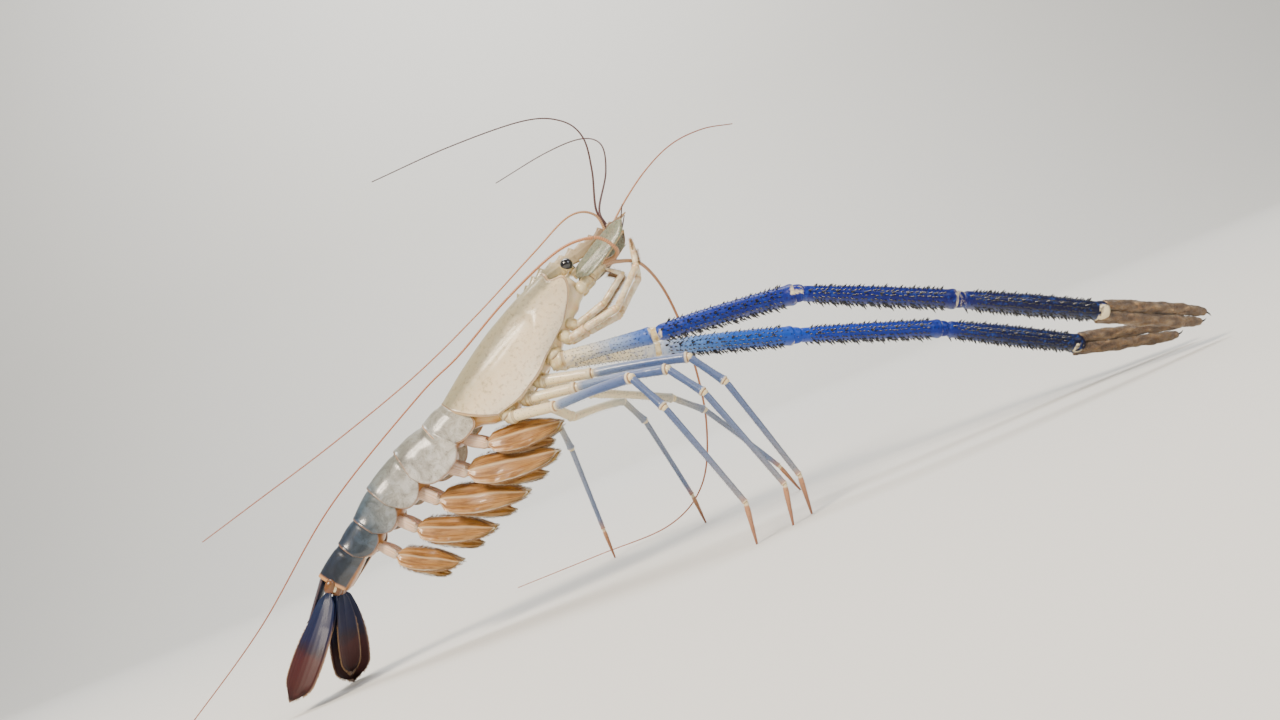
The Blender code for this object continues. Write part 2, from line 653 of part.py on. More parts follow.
def great_claw(row):
    """Arm, carpus, palm and moving finger of one claw; returns its stub."""
    side_name, side = row[:2]
    root = at(HEAD, CLAW_ROOT[0], side * CLAW_ROOT[1], CLAW_ROOT[2])
    points = chain(root, CLAW_LENGTHS, row[2:])
    name = "cheliped_" + side_name
    merus, carpus, palm_end, tip = points[1:3], points[2:4], points[4], points[5]
    d = (tip - palm_end).normalized()
    spacing = d.cross(Vector((0, 0, 1))).normalized().cross(d) * (FINGER_RADIUS + GAP)
    short_end = palm_end + (points[3] - palm_end).normalized() * PALM_SHORT

    arm = limb_part(points[:3], CLAW_RADII[:2], 2, after=points[3])
    finish(fuse(arm, spine_rows(*merus, CLAW_RADII[1], *SPINES[0])), name + "_arm", "claw")
    wrist = limb_part(carpus, CLAW_RADII[2:3], 2, before=points[1], after=palm_end)
    finish(fuse(wrist, spine_rows(*carpus, CLAW_RADII[2], *SPINES[1])), name + "_carpus", "claw")
    palm = limb_part([points[3], short_end], CLAW_RADII[3:4], 2, before=points[2])
    knuckle = tube([(palm_end - d * behind, radius) for behind, radius in KNUCKLE])
    spines = spine_rows(points[3], palm_end, CLAW_RADII[3], *SPINES[2])
    fixed = finger(palm_end, d, -spacing, FIXED_FINGER)
    finish(fuse(palm, [knuckle, fixed] + spines), name + "_palm", "claw")
    finish(finger(palm_end, d, spacing, MOVING_FINGER), name + "_finger", "fur")
    return stub(root, (points[1] - points[0]).normalized(), *CLAW_STUB)


# Thin blades: scales of the feelers, swimmerets and tail fan
def blade(root, along, across, face, length, width, thick, rib, bloom=0.75, fall=0.0,
          cells=(7, 4), lean=0.0, end=(0.6, 0.21)):
    """Oval leaf, domed to the side of the face vector, with a stout root and a rib down its
    middle; both faces are cut alike. Its end is sharper or blunter by the two numbers of end."""
    along = along.normalized()
    across = (across - along * across.dot(along)).normalized()
    normal = along.cross(across)
    if normal.dot(face) < 0:
        normal.negate()
    n, m = cells
    bm = bmesh.new()
    faces = ([], [])
    for i in range(n + 1):
        u = i / n
        half = width / 2 * (0.16 + 0.84 * max(0.0, math.sin(math.pi * u ** bloom)) ** end[0])
        half = rib if i == 0 else width * end[1] if i == n else half
        rows = ([], [])
        for j in range(m + 1):
            v = 2 * j / m - 1
            middle = (root + along * (GAP + (length - GAP) * u - 0.06 * length * u * v * v)
                      + across * (half * v + lean * u) + normal * (fall * u * u))
            middle -= normal * (0.10 * width * v * v * min(1.0, 3 * u))
            core = max(0.0, 1 - abs(v) * 1.6)
            high = thick / 2 + (rib * (1 - 0.8 * u) - thick / 2) * core
            for row, sign in zip(rows, (1, -1)):
                row.append(bm.verts.new(middle + normal * high * sign))
        for face, row in zip(faces, rows):
            face.append(row)
    for face in faces:
        for a, b in zip(face, face[1:]):
            for j in range(m):
                bm.faces.new((a[j], a[j + 1], b[j + 1]))
                bm.faces.new((a[j], b[j + 1], b[j]))
    top, bottom = faces
    rim = ([(k, 0) for k in range(n + 1)] + [(n, k) for k in range(1, m + 1)]
           + [(k, m) for k in range(n - 1, -1, -1)] + [(0, k) for k in range(m - 1, 0, -1)])
    for (i, j), (k, l) in zip(rim, rim[1:] + rim[:1]):
        bm.faces.new((top[i][j], top[k][l], bottom[k][l], bottom[i][j]))
    bmesh.ops.recalc_face_normals(bm, faces=bm.faces)
    return bm


def fan_frame(pitch):
    """Forward, left and dorsal directions of a tail fan blade at a downward pitch."""
    p = math.radians(pitch)
    return Vector((-math.cos(p), 0, -math.sin(p))), Vector((-math.sin(p), 0, math.cos(p)))


def telson():
    """Tapering wedge behind the sixth segment, cut flush with its rear face."""
    back, up = fan_frame(FAN_SIDES[0][2])
    root = at(FRAMES[0], -GAP / 2, 0, TELSON_ROOT) + back * 2 * GAP
    rings = []
    for u, half, high in TELSON:
        centre = root + back * (TELSON_LENGTH * u)
        ring = ((-half, 0), (-half * 0.6, 0.8), (0, 1), (half * 0.6, 0.8), (half, 0),
                (half * 0.6, -0.6), (0, -0.8), (-half * 0.6, -0.6))
        rings.append([centre + Vector((0, y, 0)) + up * (high * h) for y, h in ring])
    bm = loft(rings, [range(8)], [range(8)])
    trim(bm, at(FRAMES[0], -GAP / 2, 0, 0), heading(0, FRAMES[0][2]))
    finish(bm, "telson", "fan")


def uropod(side_name, side, pitch, added_roll, row):
    """One side blade of the tail fan, resting on the floor where it reaches it; returns its stub."""
    part, y, depth, splay, roll, length, width, rib = row
    back, up = fan_frame(pitch)
    out = Vector((0, side, 0))
    s, r = math.radians(splay), math.radians(roll + added_roll)
    along = back * math.cos(s) + out * math.sin(s)
    across = out * math.cos(r) - up * math.sin(r)
    start = at(FRAMES[0], -UROPOD_BACK, side * y, depth)
    leaf = blade(start, along, across, up, length, width, UROPOD_THICK, rib, bloom=UROPOD_BLOOM,
                 lean=UROPOD_LEAN, end=FAN_END)
    if min(vert.co.z for vert in leaf.verts) < FLOOR:
        trim(leaf, Vector((0, 0, FLOOR)), Vector((0, 0, -1)))
    finish(leaf, "uropod_%s_%s" % (part, side_name), "fan")
    return stub(start, along, rib + FAN_STUB[0], FAN_STUB[1])


def swimmeret(number, side_name, side):
    """One leaf-like swimmeret under a segment, counted from the front; returns its stub."""
    index, stalk, radius, stalk_pitch, length, width, leaf_pitch = SWIMMERETS[number - 1]
    frame = tuple((FRAMES[index][k] + FRAMES[index + 1][k]) / 2 for k in range(3))
    half, belly = SEGMENTS[index][3] / 2, SEGMENTS[index][6]
    root = at(frame, 0, side * half * SWIMMERET_Y, belly + SWIMMERET_DROP)
    down = heading(side * 12, stalk_pitch)
    knee = root + down * stalk
    along = heading(side * 4, leaf_pitch)
    across = Vector((0, side * 0.62, -0.78))
    leaf = blade(knee - along, along, across, Vector((0, side, 0)), length, width, LEAF_THICK,
                 LEAF_RIB, fall=LEAF_FALL, cells=(5, 4))
    shaft = tube([(root + down * GAP, radius * 0.9), (root + down * stalk * 0.6, radius),
                  (knee, radius * 0.8), (knee + along * 1.5, LEAF_RIB - 0.1)], 1)
    finish(fuse(shaft, [leaf]), "pleopod_%d_%s" % (number, side_name), "swimmer")
    return stub(root, down, radius, SWIMMERET_STUB)


# Head: eyes, feelers and mouth limbs
AHEAD = heading(0, CARAPACE_PITCH)
BELOW = heading(0, CARAPACE_PITCH - 90)


def head_place(place, side):
    """World point of a (place, distance from the middle, depth) row on one side of the head."""
    return at(HEAD, place[0], side * place[1], place[2])


def eye(name, side, out):
    root = head_place(EYE_ROOT, side)
    look = (AHEAD * 0.6 + out * 0.75 - BELOW * 0.2).normalized()
    stalk = tube([(root + look * reach, radius) for reach, radius in EYE_STALK])
    ball = bmesh.new()
    bmesh.ops.create_uvsphere(ball, u_segments=10, v_segments=7, radius=EYE_RADIUS,
                              matrix=Matrix.Translation(root + look * EYE_REACH))
    finish(fuse(ball, [stalk]), "eye_" + name, "eye")
    return stub(root, look, EYE_STALK[0][1] + EYE_STUB[0], EYE_STUB[1])


def antennule(name, side, out):
    """First feeler: peduncle with two whips, and a third whip as a node of its own."""
    root, tip = head_place(ANTENNULE_ROOT, side), head_place(ANTENNULE_TIP, side)
    d = (tip - root).normalized()
    first, second = ANTENNULE_LENGTHS
    base = limb_part([root, root + d * first, root + d * (first + second), tip], ANTENNULE_RADII, 1)
    back = tip - d * 2.0
    inner = smooth([back + d] + [Vector(p) for p in INNER_WHIPS[name]], 3)
    short = smooth([back, tip + d * 8.0 + out * 3.0, tip + d * 18.0 + out * 9.0 - BELOW * 6.0], 2)
    outer = [Vector(p) for p in OUTER_WHIPS[name]]
    post = tip + (outer[0] - tip).normalized() * ANTENNULE_POST - out * 0.6
    parts = [tube(tapered(inner, FINE_WHIP), 1), tube(tapered(short, SHORT_WHIP), 1),
             tube([(back, 1.0), (post, FINE_WHIP[0])], 1)]
    finish(fuse(base, parts), "antennule_" + name, "feeler")
    way = (post - back).normalized()
    line = [post + way * GAP, post + way * 3.0] + smooth([post] + outer, 4)[3:]
    finish(tube(tapered(line, (0.8,) + FINE_WHIP[1:]), 1), "antennule_whip_" + name, "feeler")
    return stub(root, d, ANTENNULE_RADII[0][0] + ANTENNULE_STUB[0], ANTENNULE_STUB[1])


def antenna(name, side, out):
    """Second feeler: stout base with the start of the long whip, and the rest of the whip."""
    root = head_place(ANTENNA_ROOT, side)
    way = (AHEAD + out * 0.1 + BELOW * 0.06).normalized()
    first, second = ANTENNA_LENGTHS
    joints = [root, root + way * first, root + way * (first + second)]
    base = limb_part(joints, ANTENNA_RADII, 1)
    course = [at(HEAD, *p) for p in LONG_WHIPS_NEAR[name]] + [Vector(p) for p in LONG_WHIPS_FREE[name]]
    line = tapered(smooth([joints[-1]] + course, 4), LONG_WHIP)
    split = BASE_KNOTS * 4
    near = [(joints[-1] - way * 2.0, LONG_WHIP[0] + 0.1)] + line[1:split + 1]
    finish(fuse(base, [tube(near, 1)]), "antenna_base_" + name, "shell")
    (before, _), (end, radius) = line[split - 1:split + 1]
    d = (end - before).normalized()
    far = [(end + d * GAP, radius), (end + d * 2.5, radius)] + line[split + 1:]
    finish(tube(far, 1), "antenna_whip_" + name, "feeler")
    return stub(root, way, ANTENNA_RADII[0][0] + ANTENNA_STUB[0], ANTENNA_STUB[1])


def antenna_scale(name, side, out):
    root = head_place(SCALE_ROOT, side)
    along = (AHEAD + out * 0.12).normalized()
    across = (out * 0.66 + BELOW * 0.75).normalized()
    leaf = blade(root, along, across, out, SCALE_LENGTH, SCALE_WIDTH, SCALE_THICK, SCALE_RIB, lean=1.7,
                 end=FAN_END)
    finish(leaf, "antenna_scale_" + name, "shell")
    return stub(root, along, SCALE_RIB + SCALE_STUB[0], SCALE_STUB[1])


def jaw_foot(name, side, out):
    """Third maxilliped, folded forward under the mouth with its last length turned back."""
    joints = [head_place(JAW_FOOT_ROOT, side)]
    way = (AHEAD * 0.95 + BELOW * 0.25 + out * 0.08).normalized()
    turns = (way, AHEAD * 0.98 - BELOW * 0.08, (out * 0.45 - BELOW * 0.85 - AHEAD * 0.35).normalized())
    for length, turn in zip(JAW_FOOT_LENGTHS, turns):
        joints.append(joints[-1] + turn * length)
    finish(limb_part(joints, JAW_FOOT_RADII, 1), "maxilliped_" + name, "leg")
    return stub(joints[0], way, JAW_FOOT_RADII[0][0] + JAW_FOOT_STUB[0], JAW_FOOT_STUB[1])


def pincer_leg(name, side, out):
    """Slim first leg with its small closed pincer, folded up beside the mouth."""
    joints = [head_place(PINCER_LEG_ROOT, side)]
    way = (AHEAD * 0.88 + BELOW * 0.38 + out * 0.30).normalized()
    turns = (way, (AHEAD * 0.95 - BELOW * 0.18 + out * 0.22).normalized(),
             (AHEAD * 0.6 - BELOW * 0.7 - out * 0.38).normalized())
    for length, turn in zip(PINCER_LEG_LENGTHS, turns):
        joints.append(joints[-1] + turn * length)
    finish(limb_part(joints, PINCER_LEG_RADII, 1), "small_claw_leg_" + name, "leg")
    return stub(joints[0], way, PINCER_LEG_RADII[0][0] + PINCER_LEG_STUB[0], PINCER_LEG_STUB[1])


def settle():
    """Turn the finished meshes to metres about the middle of the outline, soles at the floor."""
    corners = [vert.co for ob in finished for vert in ob.data.vertices]
    low = [min(c[k] for c in corners) for k in range(3)]
    high = [max(c[k] for c in corners) for k in range(3)]
    middle = Vector(((low[0] + high[0]) / 2, (low[1] + high[1]) / 2, low[2]))
    for ob in finished:
        ob.data.transform(Matrix.Scale(MM, 4) @ Matrix.Translation(-middle))


carapace()
telson()
SIDES = (("right", -1), ("left", 1))
for segment in range(6):
    if segment == 0:
        roots = [uropod(*fan, row) for fan in FAN_SIDES for row in UROPODS]
    else:
        roots = [swimmeret(6 - segment, *half) for half in SIDES]
    abdomen_segment(segment, roots)
limb_stubs = [make(name, side, Vector((0, side, 0))) for name, side in SIDES
              for make in (eye, antennule, antenna, antenna_scale, jaw_foot, pincer_leg)]
limb_stubs += [walking_leg(leg) for leg in LEGS]
limb_stubs += [great_claw(claw) for claw in CLAWS]
underside(limb_stubs)
settle()
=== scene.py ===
# Giant river prawn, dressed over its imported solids. Lengths are in millimetres in the frame that the
# part is built in: x forward from the tail fan's tip, y to the animal's left, z up from the floor.
import math
import random

import bmesh
import bpy
import numpy as np
from mathutils import Matrix, Vector


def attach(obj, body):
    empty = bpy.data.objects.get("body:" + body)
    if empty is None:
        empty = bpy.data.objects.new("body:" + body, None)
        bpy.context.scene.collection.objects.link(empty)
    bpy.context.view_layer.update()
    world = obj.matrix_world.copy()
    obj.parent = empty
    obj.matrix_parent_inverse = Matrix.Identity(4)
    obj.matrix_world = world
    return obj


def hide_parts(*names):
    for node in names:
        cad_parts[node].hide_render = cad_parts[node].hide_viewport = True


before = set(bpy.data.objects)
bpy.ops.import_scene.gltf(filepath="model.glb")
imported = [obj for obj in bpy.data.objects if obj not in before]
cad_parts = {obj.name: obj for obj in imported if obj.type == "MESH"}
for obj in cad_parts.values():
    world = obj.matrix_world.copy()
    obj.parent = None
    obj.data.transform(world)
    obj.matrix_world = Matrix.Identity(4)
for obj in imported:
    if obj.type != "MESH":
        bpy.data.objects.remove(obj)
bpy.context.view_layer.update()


# Studio. A plain pale board is the floor and curves up behind into a wall. Two large soft lamps light
# the animal and a third the wall. The camera stands low at the animal's right side, at the
# photograph's viewing angle, rolled so that the head points up.
VIEW_TARGET = Vector((-0.0008, -0.0430, 0.111))
VIEW_DISTANCE = 0.574
VIEW_ELEVATION = -4.0
VIEW_ROLL = 22.0
VIEW_FOCAL = 1005.0 / 1280.0            # focal length as a share of the picture's width
SENSOR = 36.0
FLOOR_SIDE, FLOOR_BACK, COVE_RADIUS, WALL_TOP = 16.0, 2.6, 1.4, 6.0      # metres
LAMPS = (
    # place, point that it faces, size and power, in metres and watts, and colour
    ((-0.75, -1.05, 1.25), (0.0, 0.0, 0.1), 0.6, 46.0, "#fff0dc"),
    ((0.95, -0.85, 0.75), (0.0, 0.0, 0.1), 0.7, 6.0, "#eef4ff"),
    ((0.0, 1.0, 3.4), (0.0, 4.0, 0.9), 2.6, 210.0, "#ffffff"),
)
SKY_TINT, SKY_STRENGTH = "#f0f1f2", 0.55


SOCKETS = {"colour": "Base Color", "ior": "IOR", "shine": "Specular IOR Level", "sheen": "Sheen Weight",
           "sheen_rough": "Sheen Roughness"}
RESULT = {"ShaderNodeMix": 2, "ShaderNodeAttribute": 2}     # plain results that aren't a node's first output


def tint(code):
    """Linear colour from an sRGB hex code."""
    shares = [int(code[i:i + 2], 16) / 255 for i in (1, 3, 5)]
    return (*[s / 12.92 if s <= 0.04045 else ((s + 0.055) / 1.055) ** 2.4 for s in shares], 1.0)


class Finish:
    """A real finish as a material: plain values on its shader, and the nodes that colour and dent it."""

    def __init__(self, name, rough, coat=(), inside=(), **others):
        """Roughness, a clear coat's weight and roughness, and the weight, depth in metres and radii of
        the light inside, and any of the other plain values."""
        self.material = bpy.data.materials.new(name)
        self.material.use_nodes = True
        self.tree = self.material.node_tree
        self.shader = self.tree.nodes["Principled BSDF"]
        plain = {"Roughness": rough, **dict(zip(("Coat Weight", "Coat Roughness"), coat)),
                 **dict(zip(("Subsurface Weight", "Subsurface Scale", "Subsurface Radius"), inside)),
                 **{SOCKETS[key]: value for key, value in others.items()}}
        for key, value in plain.items():
            self.shader.inputs[key].default_value = value

    def feed(self, taker, key, source):
        """Link a socket, a node's plain result or a mark of the mesh, by its name, to a node's input."""
        if isinstance(source, str):
            source = self.add("Attribute", attribute_name=source)
        if isinstance(source, bpy.types.Node):
            source = source.outputs[RESULT.get(source.bl_idname, 0)]
        self.tree.links.new(source, taker.inputs[key])

    def add(self, kind, values=None, links=None, stops=(), **settings):
        """Add a node with its own settings, socket values, ramp stops and what feeds its sockets. A
        texture is laid in metres, so a scale of 200 gives features of about 5 mm. A mix is of colours."""
        made = self.tree.nodes.new("ShaderNode" + kind)
        links = dict(links or {})
        if kind in ("TexNoise", "TexVoronoi") and "Vector" not in links:
            links["Vector"] = self.add("TexCoord").outputs["Object"]
        if kind == "Mix":
            settings["data_type"] = "RGBA"
        for key, value in settings.items():
            setattr(made, key, value)
        for key, value in (values or {}).items():
            made.inputs[key].default_value = value
        for key, source in links.items():
            self.feed(made, key, source)
        for _ in stops[2:]:
            made.color_ramp.elements.new(0.5)
        for number, (place, code) in enumerate(stops):
            made.color_ramp.elements[number].position = place
            made.color_ramp.elements[number].color = tint(code)
        return made

    def use(self, colour=None, height=None, strength=0.0, depth=0.0):
        """Feed the shader its colour, and dents and bumps of a strength and of a depth in metres."""
        if colour:
            self.feed(self.shader, "Base Color", colour)
        if height:
            bump = self.add("Bump", {"Strength": strength, "Distance": depth}, {"Height": height})
            self.feed(self.shader, "Normal", bump)


# Matt painted board: a faint tooth in the paint keeps the floor from looking like a screen.
board = Finish("matt_painted_board", 0.75, colour=tint("#dcdad4"))
grain = board.add("TexNoise", {"Scale": 1200.0, "Detail": 2.0})
board.use(None, grain, 0.05, 0.0002)
cove = [math.radians(5 * k) for k in range(19)]
profile = [(-FLOOR_SIDE, 0.0),
           *[(FLOOR_BACK + COVE_RADIUS * math.sin(t), COVE_RADIUS * (1 - math.cos(t))) for t in cove],
           (FLOOR_BACK + COVE_RADIUS, WALL_TOP)]
mesh = bpy.data.meshes.new("studio_floor")
mesh.from_pydata([(x, y, z) for y, z in profile for x in (-FLOOR_SIDE, FLOOR_SIDE)], [],
                 [(2 * k, 2 * k + 1, 2 * k + 3, 2 * k + 2) for k in range(len(profile) - 1)])
mesh.materials.append(board.material)
for face in mesh.polygons:
    face.use_smooth = True
floor = bpy.data.objects.new("studio_floor", mesh)
bpy.context.scene.collection.objects.link(floor)

for number, (place, faced, size, power, code) in enumerate(LAMPS):
    lamp = bpy.data.lights.new("softbox_%d" % number, "AREA")
    lamp.shape, lamp.size, lamp.energy = "DISK", size, power
    lamp.color = tint(code)[:3]
    holder = bpy.data.objects.new("softbox_%d" % number, lamp)
    holder.location = place
    holder.rotation_mode = "QUATERNION"
    holder.rotation_quaternion = (Vector(faced) - Vector(place)).to_track_quat("-Z", "Y")
    bpy.context.scene.collection.objects.link(holder)

world = bpy.data.worlds.new("studio")
world.use_nodes = True
sky = world.node_tree.nodes["Background"].inputs
sky["Color"].default_value, sky["Strength"].default_value = tint(SKY_TINT), SKY_STRENGTH
bpy.context.scene.world = world

rise, roll = math.radians(VIEW_ELEVATION), math.radians(VIEW_ROLL)
look = Vector((0, math.cos(rise), -math.sin(rise)))
level = Vector((1, 0, 0))
upright = level.cross(look)
right = level * math.cos(roll) - upright * math.sin(roll)
above = level * math.sin(roll) + upright * math.cos(roll)
eye_place = VIEW_TARGET - look * VIEW_DISTANCE
camera = bpy.data.objects.new("camera", bpy.data.cameras.new("camera"))
camera.data.sensor_width = SENSOR
camera.data.lens = VIEW_FOCAL * SENSOR
camera.data.clip_start, camera.data.clip_end = 0.01, 50.0
camera.matrix_world = Matrix((
    (right.x, above.x, -look.x, eye_place.x), (right.y, above.y, -look.y, eye_place.y),
    (right.z, above.z, -look.z, eye_place.z), (0, 0, 0, 1)))
bpy.context.scene.collection.objects.link(camera)
bpy.context.scene.camera = camera


# Flesh. One skin runs from the tail root along the belly and the underside of the thorax to the
# mouth: soft amber membrane between pale ribs, with the ivory coxae of legs and claws at its edges.
MIDDLE = np.array((239.803, 43.037, 0.0))   # middle of the outline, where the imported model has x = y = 0
TAIL_ROOT, TAIL_PITCH, HEAD_PITCH = (25.0, 65.0), 45.0, 32.0
SEGMENTS = (
    # name, length, pitch, rear width, front width, depth of the side plate, depth of the belly
    ("abdomen_6", 23.5, 37.0, 15.0, 17.0, 17.5, 15.5),
    ("abdomen_5", 16.5, 38.0, 19.5, 19.0, 20.5, 15.5),
    ("abdomen_4", 19.5, 43.0, 22.5, 22.0, 24.5, 16.5),
    ("abdomen_3", 25.0, 31.0, 27.5, 26.5, 28.0, 18.0),
    ("abdomen_2", 21.0, 21.0, 31.0, 31.0, 31.0, 20.0),
    ("abdomen_1", 14.0, 29.0, 28.5, 28.0, 25.0, 19.0),
)
UNDERSIDE = (
    # place along the head's line, half width, top and bottom depth
    (4.0, 10.0, 12.0, 26.0), (13.0, 10.5, 20.0, 34.0), (22.0, 12.0, 20.0, 37.0), (40.0, 12.2, 20.0, 38.0),
    (58.0, 11.6, 19.0, 37.0), (72.0, 9.6, 16.0, 35.0), (84.0, 8.2, 13.0, 32.0), (94.0, 7.2, 11.0, 29.5),
    (99.0, 6.8, 10.4, 28.0), (101.5, 4.5, 12.0, 25.0),
)
RIBS = 19                                   # sternal ribs from the last swimmeret to the first legs
PATCH_RADIUS = 0.0015                       # of one tuft on the baking map, which is 1 wide


def unit(vectors):
    """Vectors scaled to length one."""
    vectors = np.asarray(vectors, float)
    return vectors / np.maximum(np.linalg.norm(vectors, axis=-1, keepdims=True), 1e-9)


def held(values):
    """Values held between 0 and 1."""
    return np.clip(values, 0, 1)


def turns(count):
    """Angles evenly spread once round."""
    return np.linspace(0, 2 * math.pi, count, endpoint=False)


def ring(one, two, angles, flat=1.0):
    """Directions at angles round a ring that two directions span, or round each of many rings."""
    return (one[..., None, :] * np.cos(angles)[:, None]
            + two[..., None, :] * (np.sin(angles) * flat)[:, None])


class Heap:
    """Gathers surfaces into one mesh, with a finish, and for each point its place along the limb,
    its height round it, its nearness to a rim and its patch on the baking map."""

    def __init__(self):
        self.points, self.faces, self.finishes, self.marks, self.patches = [], [], [], [], []
        self.count = 0

    def add(self, points, faces, finish, along, upper, rim, patch=None):
        points = np.asarray(points, float).reshape(-1, 3)
        size = len(points)
        self.points.append(points)
        self.marks.append(np.stack([np.broadcast_to(np.ravel(m), size) for m in (along, upper, rim)]))
        self.patches.append(np.zeros((size, 2)) if patch is None else patch)
        for group in faces:
            group = np.asarray(group) + self.count
            self.faces.append(group)
            self.finishes.append(np.full(len(group), finish))
        self.count += size

    def grid(self, points, finish=0, along=0.0, upper=0.5, rim=0.0, ring=True, caps=(False, False)):
        """Surface through rows of points, closed round each row or open, with rounded-off ends."""
        rows, cols = points.shape[:2]
        index = np.arange(rows * cols).reshape(rows, cols)
        near = index if ring else index[:, :-1]
        far = np.roll(index, -1, axis=1) if ring else index[:, 1:]
        faces = [np.stack([near[:-1], far[:-1], far[1:], near[1:]], axis=-1).reshape(-1, 4)]
        spread = [np.broadcast_to(m, (rows, cols)).reshape(-1) for m in (along, upper, rim)]
        flat = points.reshape(-1, 3)
        for wanted, row, others in ((caps[0], 0, index[0]), (caps[1], rows - 1, index[-1])):
            if wanted:
                flat = np.vstack([flat, points[row].mean(axis=0)])
                centre = len(flat) - 1
                spread = [np.append(m, m[index[row, 0]]) for m in spread]
                faces.append(np.stack([others, np.roll(others, -1), np.full(cols, centre)], axis=-1))
        self.add(flat, faces, finish, *spread)

    def thorns(self, feet, ways, lengths, radii, finish, along=0.0, upper=0.5, bend=None, sides=5,
               levels=(0.0, 0.4, 0.75), patch=None):
        """Tapered spines or hairs, each on its foot, bent towards a common or own vector."""
        feet, ways = np.asarray(feet, float), unit(ways)
        n, k = len(feet), len(levels)
        lengths, radii = np.broadcast_to(lengths, n), np.broadcast_to(radii, n)
        guide = np.where(np.abs(ways[:, 2:3]) > 0.9, [[1.0, 0, 0]], [[0, 0, 1.0]])
        one = unit(np.cross(ways, guide))
        two = np.cross(ways, one)
        bend = np.zeros((n, 3)) if bend is None else np.broadcast_to(bend, (n, 3))
        turn = turns(sides)
        shape = []
        for u in levels:
            middle = feet + ways * (lengths * u)[:, None] + bend * (lengths * u * u)[:, None]
            width = (radii * (1 - u) ** 0.75)[:, None, None]
            shape.append(middle[:, None] + ring(one, two, turn) * width)
        tip = feet + ways * lengths[:, None] + bend * lengths[:, None]
        points = np.concatenate([np.stack(shape, axis=1).reshape(n, k * sides, 3), tip[:, None]], axis=1)
        each = k * sides + 1
        near = np.arange(sides)
        far = np.roll(near, -1)
        last = (k - 1) * sides
        quads = [np.stack([near + a, far + a, far + a + sides, near + a + sides], axis=-1)
                 for a in range(0, last, sides)]
        quads = np.concatenate([np.zeros((0, 4), int), *quads])
        tris = np.stack([near + last, far + last, np.full(sides, each - 1)], axis=-1)
        offset = (np.arange(n) * each)[:, None, None]
        uv = None
        if patch is not None:
            root = np.stack([np.cos(turn), np.sin(turn)], axis=-1) * PATCH_RADIUS
            uv = (patch[:, None] + np.concatenate([root] * k + [np.zeros((1, 2))])).reshape(-1, 2)
        marks = [np.repeat(np.broadcast_to(m, n), each) for m in (along, upper)]
        rise = np.tile(np.append(np.repeat(np.array(levels), sides), 1.0), n)
        self.add(points, [(quads[None] + offset).reshape(-1, 4), (tris[None] + offset).reshape(-1, 3)],
                 finish, *marks, rise, uv)

    def keep_above(self, height):
        """Lift what would reach below a height, such as the floor's, up to it."""
        for points in self.points:
            points[:, 2] = np.maximum(points[:, 2], height)

    def piece(self, name, finishes, slot, *replaced, mapped=False, wall=0.0):
        """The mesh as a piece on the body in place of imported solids: in metres, smooth, with its marks
        as attributes, its patches where it is to be mapped, and a wall where it is an open shell."""
        made = bpy.data.meshes.new(name)
        points = (np.concatenate(self.points) - MIDDLE) * 0.001
        faces = [face for group in self.faces for face in group.tolist()]
        made.from_pydata(points.tolist(), [], faces)
        made.polygons.foreach_set("material_index", np.concatenate(self.finishes).astype(np.int32))
        made.polygons.foreach_set("use_smooth", np.ones(len(faces), bool))
        for finish in finishes:
            made.materials.append(finish.material)
        for key, values in zip(("along", "upper", "rim"), np.concatenate(self.marks, axis=1)):
            made.attributes.new(key, "FLOAT", "POINT").data.foreach_set("value", values.astype(np.float32))
        if mapped:
            corners = np.zeros(len(made.loops), np.int32)
            made.loops.foreach_get("vertex_index", corners)
            layer = made.uv_layers.new(name="OFBake")
            layer.uv.foreach_set("vector", np.concatenate(self.patches)[corners].astype(np.float32).ravel())
        work = bmesh.new()
        work.from_mesh(made)
        bmesh.ops.recalc_face_normals(work, faces=work.faces)
        work.to_mesh(made)
        work.free()
        placed = bpy.data.objects.new(name, made)
        bpy.context.scene.collection.objects.link(placed)
        if wall:
            shell = placed.modifiers.new("shell_wall", "SOLIDIFY")
            shell.thickness, shell.offset = wall * 0.001, 1.0
        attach(placed, "root")
        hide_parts(*replaced)


def body_line():
    """Frames (x, height, pitch) at every boundary of the abdomen, the last at the carapace."""
    x, z = TAIL_ROOT
    frames = [(x, z, TAIL_PITCH)]
    for row, after in zip(SEGMENTS, SEGMENTS[1:] + (("", 0, HEAD_PITCH),)):
        pitch = math.radians(row[2])
        x, z = x + row[1] * math.cos(pitch), z + row[1] * math.sin(pitch)
        frames.append((x, z, (row[2] + after[2]) / 2))
    frames[-1] = (x, z, HEAD_PITCH)
    return frames


def at(line, ahead, y, depth):
    """Points at a distance ahead of a frame, aside of it and below its back line."""
    x, z, pitch = line
    c, s = math.cos(math.radians(pitch)), math.sin(math.radians(pitch))
    ahead, y, depth = np.broadcast_arrays(*[np.asarray(v, float) for v in (ahead, y, depth)])
    return np.stack([x + ahead * c + depth * s, y, z + ahead * s - depth * c], axis=-1)


def heading(azimuth, elevation):
    """Unit vector at an azimuth to the left of forward and an elevation, in degrees."""
    a, e = math.radians(azimuth), math.radians(elevation)
    return np.array((math.cos(e) * math.cos(a), math.cos(e) * math.sin(a), math.sin(e)))


def between(number, share):
    """Frame at a share of the way along a segment of the abdomen, counted from the tail."""
    return tuple(near + (far - near) * share for near, far in zip(FRAMES[number], FRAMES[number + 1]))


def on_head(spot, sign):
    """Point of the head from its place along the head's line, its distance aside and its depth."""
    return at(HEAD, spot[0], sign * spot[1], spot[2])


FRAMES = body_line()
HEAD = FRAMES[-1]
AHEAD, BELOW = heading(0, HEAD_PITCH), heading(0, HEAD_PITCH - 90)


